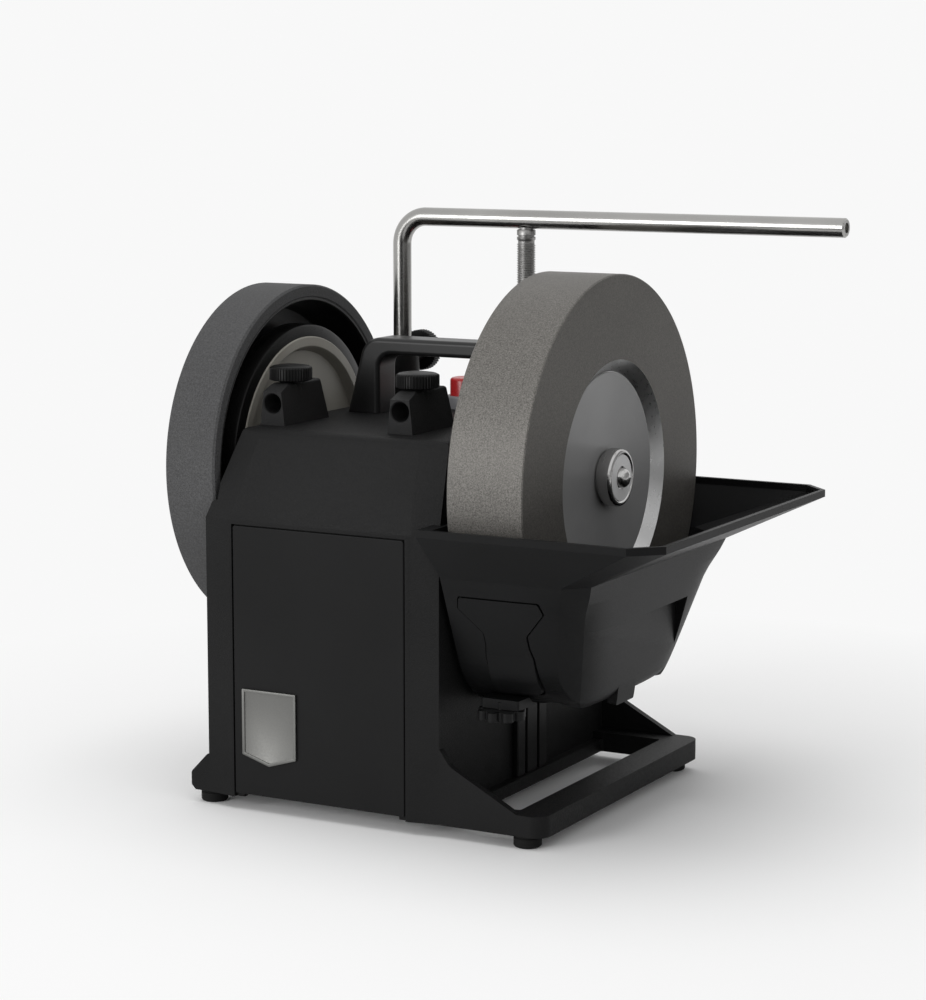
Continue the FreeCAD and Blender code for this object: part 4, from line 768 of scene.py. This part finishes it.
def makeSwitch():
    low, high = boxOf("switch_button")
    radius = (high.x - low.x) / 2
    collarLow, collarHigh = boxOf("switch_collar")
    centre = ((low.x + high.x) / 2, (low.y + high.y) / 2, 0)
    skirt = collarLow.z + capLook["skirt"]
    profile = [(low.z, 0), (low.z, capLook["stem"]), (skirt, capLook["stem"]), (skirt, radius),
               *fromHigh(capLook["rim"], high.z, radius),
               (high.z - capLook["hollowEdge"], radius * capLook["hollowShare"]),
               (high.z - capLook["hollowDepth"], 0)]
    cap = turned(profile, centre, "z", capLook["steps"])
    makePiece("switchCap", cap, plastics["redCap"], "switch", ["switch_button"])
    outer = (collarHigh.x - collarLow.x) / 2
    bottom, top = collarLow.z, collarHigh.z
    bore = radius + collarLook["play"]
    chamfer = collarLook["chamfer"]
    ring = [(bottom, bore), (bottom, outer - collarLook["taper"]), *fromHigh(collarLook["rim"], top, outer),
            (top, bore + chamfer), (top - chamfer, bore)]
    collar = turned(ring, centre, "z", collarLook["steps"], closed=True)
    makePiece("switchCollar", collar, plastics["collarGrey"], "frame", ["switch_collar"])


makeSwitch()


# Feet and the shield plate

footLook = {"radius": 8.5, "bore": 2.7, "screwRoom": 5.0, "seat": 3, "chamfer": 0.4, "steps": 64,
            "toe": [(0, 1.4), (0.4, 0.6), (1.2, 0)],
            "groove": [(2.2, 0), (1.9, 0.5), (1.3, 0.5), (1.0, 0), (0, 0)]}
plateEdge = 0.3


def makeFeet():
    bm = bmesh.new()
    low, high = boxOf("rubber_feet")
    reach, room, chamfer = footLook["radius"], footLook["screwRoom"], footLook["chamfer"]
    height = high.z - low.z
    profile = [(footLook["seat"], footLook["bore"]), (footLook["seat"], room), (chamfer, room),
               (0, room + chamfer),
               *fromLow(footLook["toe"], 0, reach), *fromHigh(footLook["groove"], height, reach),
               (height, footLook["bore"])]
    for x in (low.x + reach, high.x - reach):
        for y in (low.y + reach, high.y - reach):
            addShape(bm, turned(profile, (x, y, low.z), "z", footLook["steps"], closed=True))
    makePiece("rubberFeet", bm, blacks["footRubber"], "frame", ["rubber_feet"])


makeFeet()
makePiece("shieldPlate", softCopy("badge_plate", plateEdge), metals["platePewter"], "frame",
          ["badge_plate"])
print("switch, feet and plate done")


# Nodes whose own shape is kept, mostly inside the housing

keptNodes = [
    (metals["innerSteel"], ["foot_screws", "handle_screws", "base_plate", "hinge_bracket", "hinge_pin",
                            "motor_spring", "capacitor_clamp", "motor_core", "motor_bearings", "rotor",
                            "motor_bells", "motor_cradle", "capacitor"]),
    (metals["bushBronze"], ["shaft_bushes"]),
    (blacks["knobNylon"], ["motor_fan"]),
    (plastics["innerCream"], ["terminal_block", "switch_body"]),
]
for material, members in keptNodes:
    for node in members:
        nodes[node].data.materials.clear()
        nodes[node].data.materials.append(material)
print("kept nodes finished")


# Camera, floor and lights, in metres

cameraLook = {"place": (0.78294, -1.50416, 0.45108), "pitch": 0.153, "yaw": 0.499, "lens": 98.09,
              "sensor": 36.0}
lightLook = {
    "key": {"place": (-1.0, -2.6, 0.85), "aim": (0, 0, 0.2), "size": 1.2, "power": 32, "mirrored": True},
    "top": {"place": (-0.2, 0.0, 2.2), "aim": (0, 0, 0.1), "size": 2.2, "power": 22, "mirrored": False},
    "side": {"place": (2.2, -0.6, 0.9), "aim": (0, 0, 0.2), "size": 1.2, "power": 3, "mirrored": True},
}
stageLook = {"white": 0.94, "ambient": 0.52, "floor": 0.96, "floorRough": 0.9, "fadeFrom": 0.30,
             "fadeTo": 0.62, "reach": 12.0}


def makeCamera():
    data = bpy.data.cameras.new("camera")
    data.sensor_fit = "VERTICAL"
    data.sensor_height = cameraLook["sensor"]
    data.lens = cameraLook["lens"]
    camera = bpy.data.objects.new("camera", data)
    camera.location = cameraLook["place"]
    camera.rotation_euler = (math.pi / 2 - cameraLook["pitch"], 0, cameraLook["yaw"])
    bpy.context.scene.collection.objects.link(camera)
    bpy.context.scene.camera = camera


# Rays that show a surface to the eye: straight, mirrored or through something clear
def seenRays(tree):
    path = tree.nodes.new("ShaderNodeLightPath")
    seen = path.outputs["Is Camera Ray"]
    for ray in ("Is Glossy Ray", "Is Transmission Ray"):
        either = tree.nodes.new("ShaderNodeMath")
        either.operation = "MAXIMUM"
        tree.links.new(seen, either.inputs[0])
        tree.links.new(path.outputs[ray], either.inputs[1])
        seen = either.outputs[0]
    return seen


def makeWorld():
    world = bpy.data.worlds.new("studio")
    bpy.context.scene.world = world
    world.use_nodes = True
    tree = world.node_tree
    background = tree.nodes["Background"]
    mix = tree.nodes.new("ShaderNodeMix")
    mix.data_type = "RGBA"
    mix.inputs["A"].default_value = (*gray(stageLook["ambient"]), 1)
    mix.inputs["B"].default_value = (*gray(stageLook["white"]), 1)
    tree.links.new(seenRays(tree), mix.inputs["Factor"])
    tree.links.new(mix.outputs["Result"], background.inputs["Color"])


# The floor fades into the white background away from the object
def makeFloor():
    bm = bmesh.new()
    bmesh.ops.create_grid(bm, x_segments=1, y_segments=1, size=stageLook["reach"])
    mesh = bpy.data.meshes.new("floor")
    bm.to_mesh(mesh)
    bm.free()
    floor = bpy.data.objects.new("floor", mesh)
    bpy.context.scene.collection.objects.link(floor)
    material, tree, shader, place = startMaterial("paleFloor")
    shader.inputs["Base Color"].default_value = (*gray(stageLook["floor"]), 1)
    shader.inputs["Roughness"].default_value = stageLook["floorRough"]
    shader.inputs["Specular IOR Level"].default_value = 0.0
    length = tree.nodes.new("ShaderNodeVectorMath")
    length.operation = "LENGTH"
    tree.links.new(place, length.inputs[0])
    fade = rangeOf(tree, length.outputs["Value"], 0.0, 1.0, stageLook["fadeFrom"], stageLook["fadeTo"])
    seenFade = tree.nodes.new("ShaderNodeMath")
    seenFade.operation = "MULTIPLY"
    tree.links.new(fade, seenFade.inputs[0])
    tree.links.new(seenRays(tree), seenFade.inputs[1])
    glow = tree.nodes.new("ShaderNodeEmission")
    glow.inputs["Color"].default_value = (*gray(stageLook["white"]), 1)
    mix = tree.nodes.new("ShaderNodeMixShader")
    tree.links.new(seenFade.outputs[0], mix.inputs["Fac"])
    tree.links.new(shader.outputs["BSDF"], mix.inputs[1])
    tree.links.new(glow.outputs["Emission"], mix.inputs[2])
    tree.links.new(mix.outputs["Shader"], tree.nodes["Material Output"].inputs["Surface"])
    mesh.materials.append(material)


# Dark boards beside and before the object, for the reflections in its metal only

boardLook = {
    "right": {"tone": 0.4, "corners": [(2.2, -2.5, 0), (2.2, 5, 0), (2.2, 5, 1.8), (2.2, -2.5, 1.8)]},
    "front": {"tone": 0.02, "corners": [(-0.6, -3, 0), (2.2, -3, 0), (2.2, -3, 1.0), (-0.6, -3, 1.0)]},
    "low": {"tone": 0.02,
            "corners": [(-0.6, -3, 0.002), (2.2, -3, 0.002), (2.2, -0.9, 0.002), (-0.6, -0.9, 0.002)]},
}


def makeBoards():
    for name, look in boardLook.items():
        bm = bmesh.new()
        bm.faces.new([bm.verts.new(corner) for corner in look["corners"]])
        mesh = bpy.data.meshes.new(name + "Board")
        bm.to_mesh(mesh)
        bm.free()
        material, tree, shader, place = startMaterial(name + "Board")
        shader.inputs["Base Color"].default_value = (*gray(look["tone"]), 1)
        shader.inputs["Specular IOR Level"].default_value = 0.0
        mesh.materials.append(material)
        board = bpy.data.objects.new(name + "Board", mesh)
        board.visible_camera = False
        board.visible_diffuse = False
        board.visible_shadow = False
        bpy.context.scene.collection.objects.link(board)


def makeLights():
    for name, look in lightLook.items():
        data = bpy.data.lights.new(name, "AREA")
        data.shape = "SQUARE"
        data.size = look["size"]
        data.energy = look["power"]
        lamp = bpy.data.objects.new(name, data)
        lamp.location = look["place"]
        aim = Vector(look["aim"]) - Vector(look["place"])
        lamp.rotation_euler = aim.to_track_quat("-Z", "Y").to_euler()
        lamp.visible_glossy = look["mirrored"]
        bpy.context.scene.collection.objects.link(lamp)


makeCamera()
makeWorld()
makeFloor()
makeBoards()
makeLights()
bpy.context.scene.view_settings.view_transform = "Standard"
print("stage set")
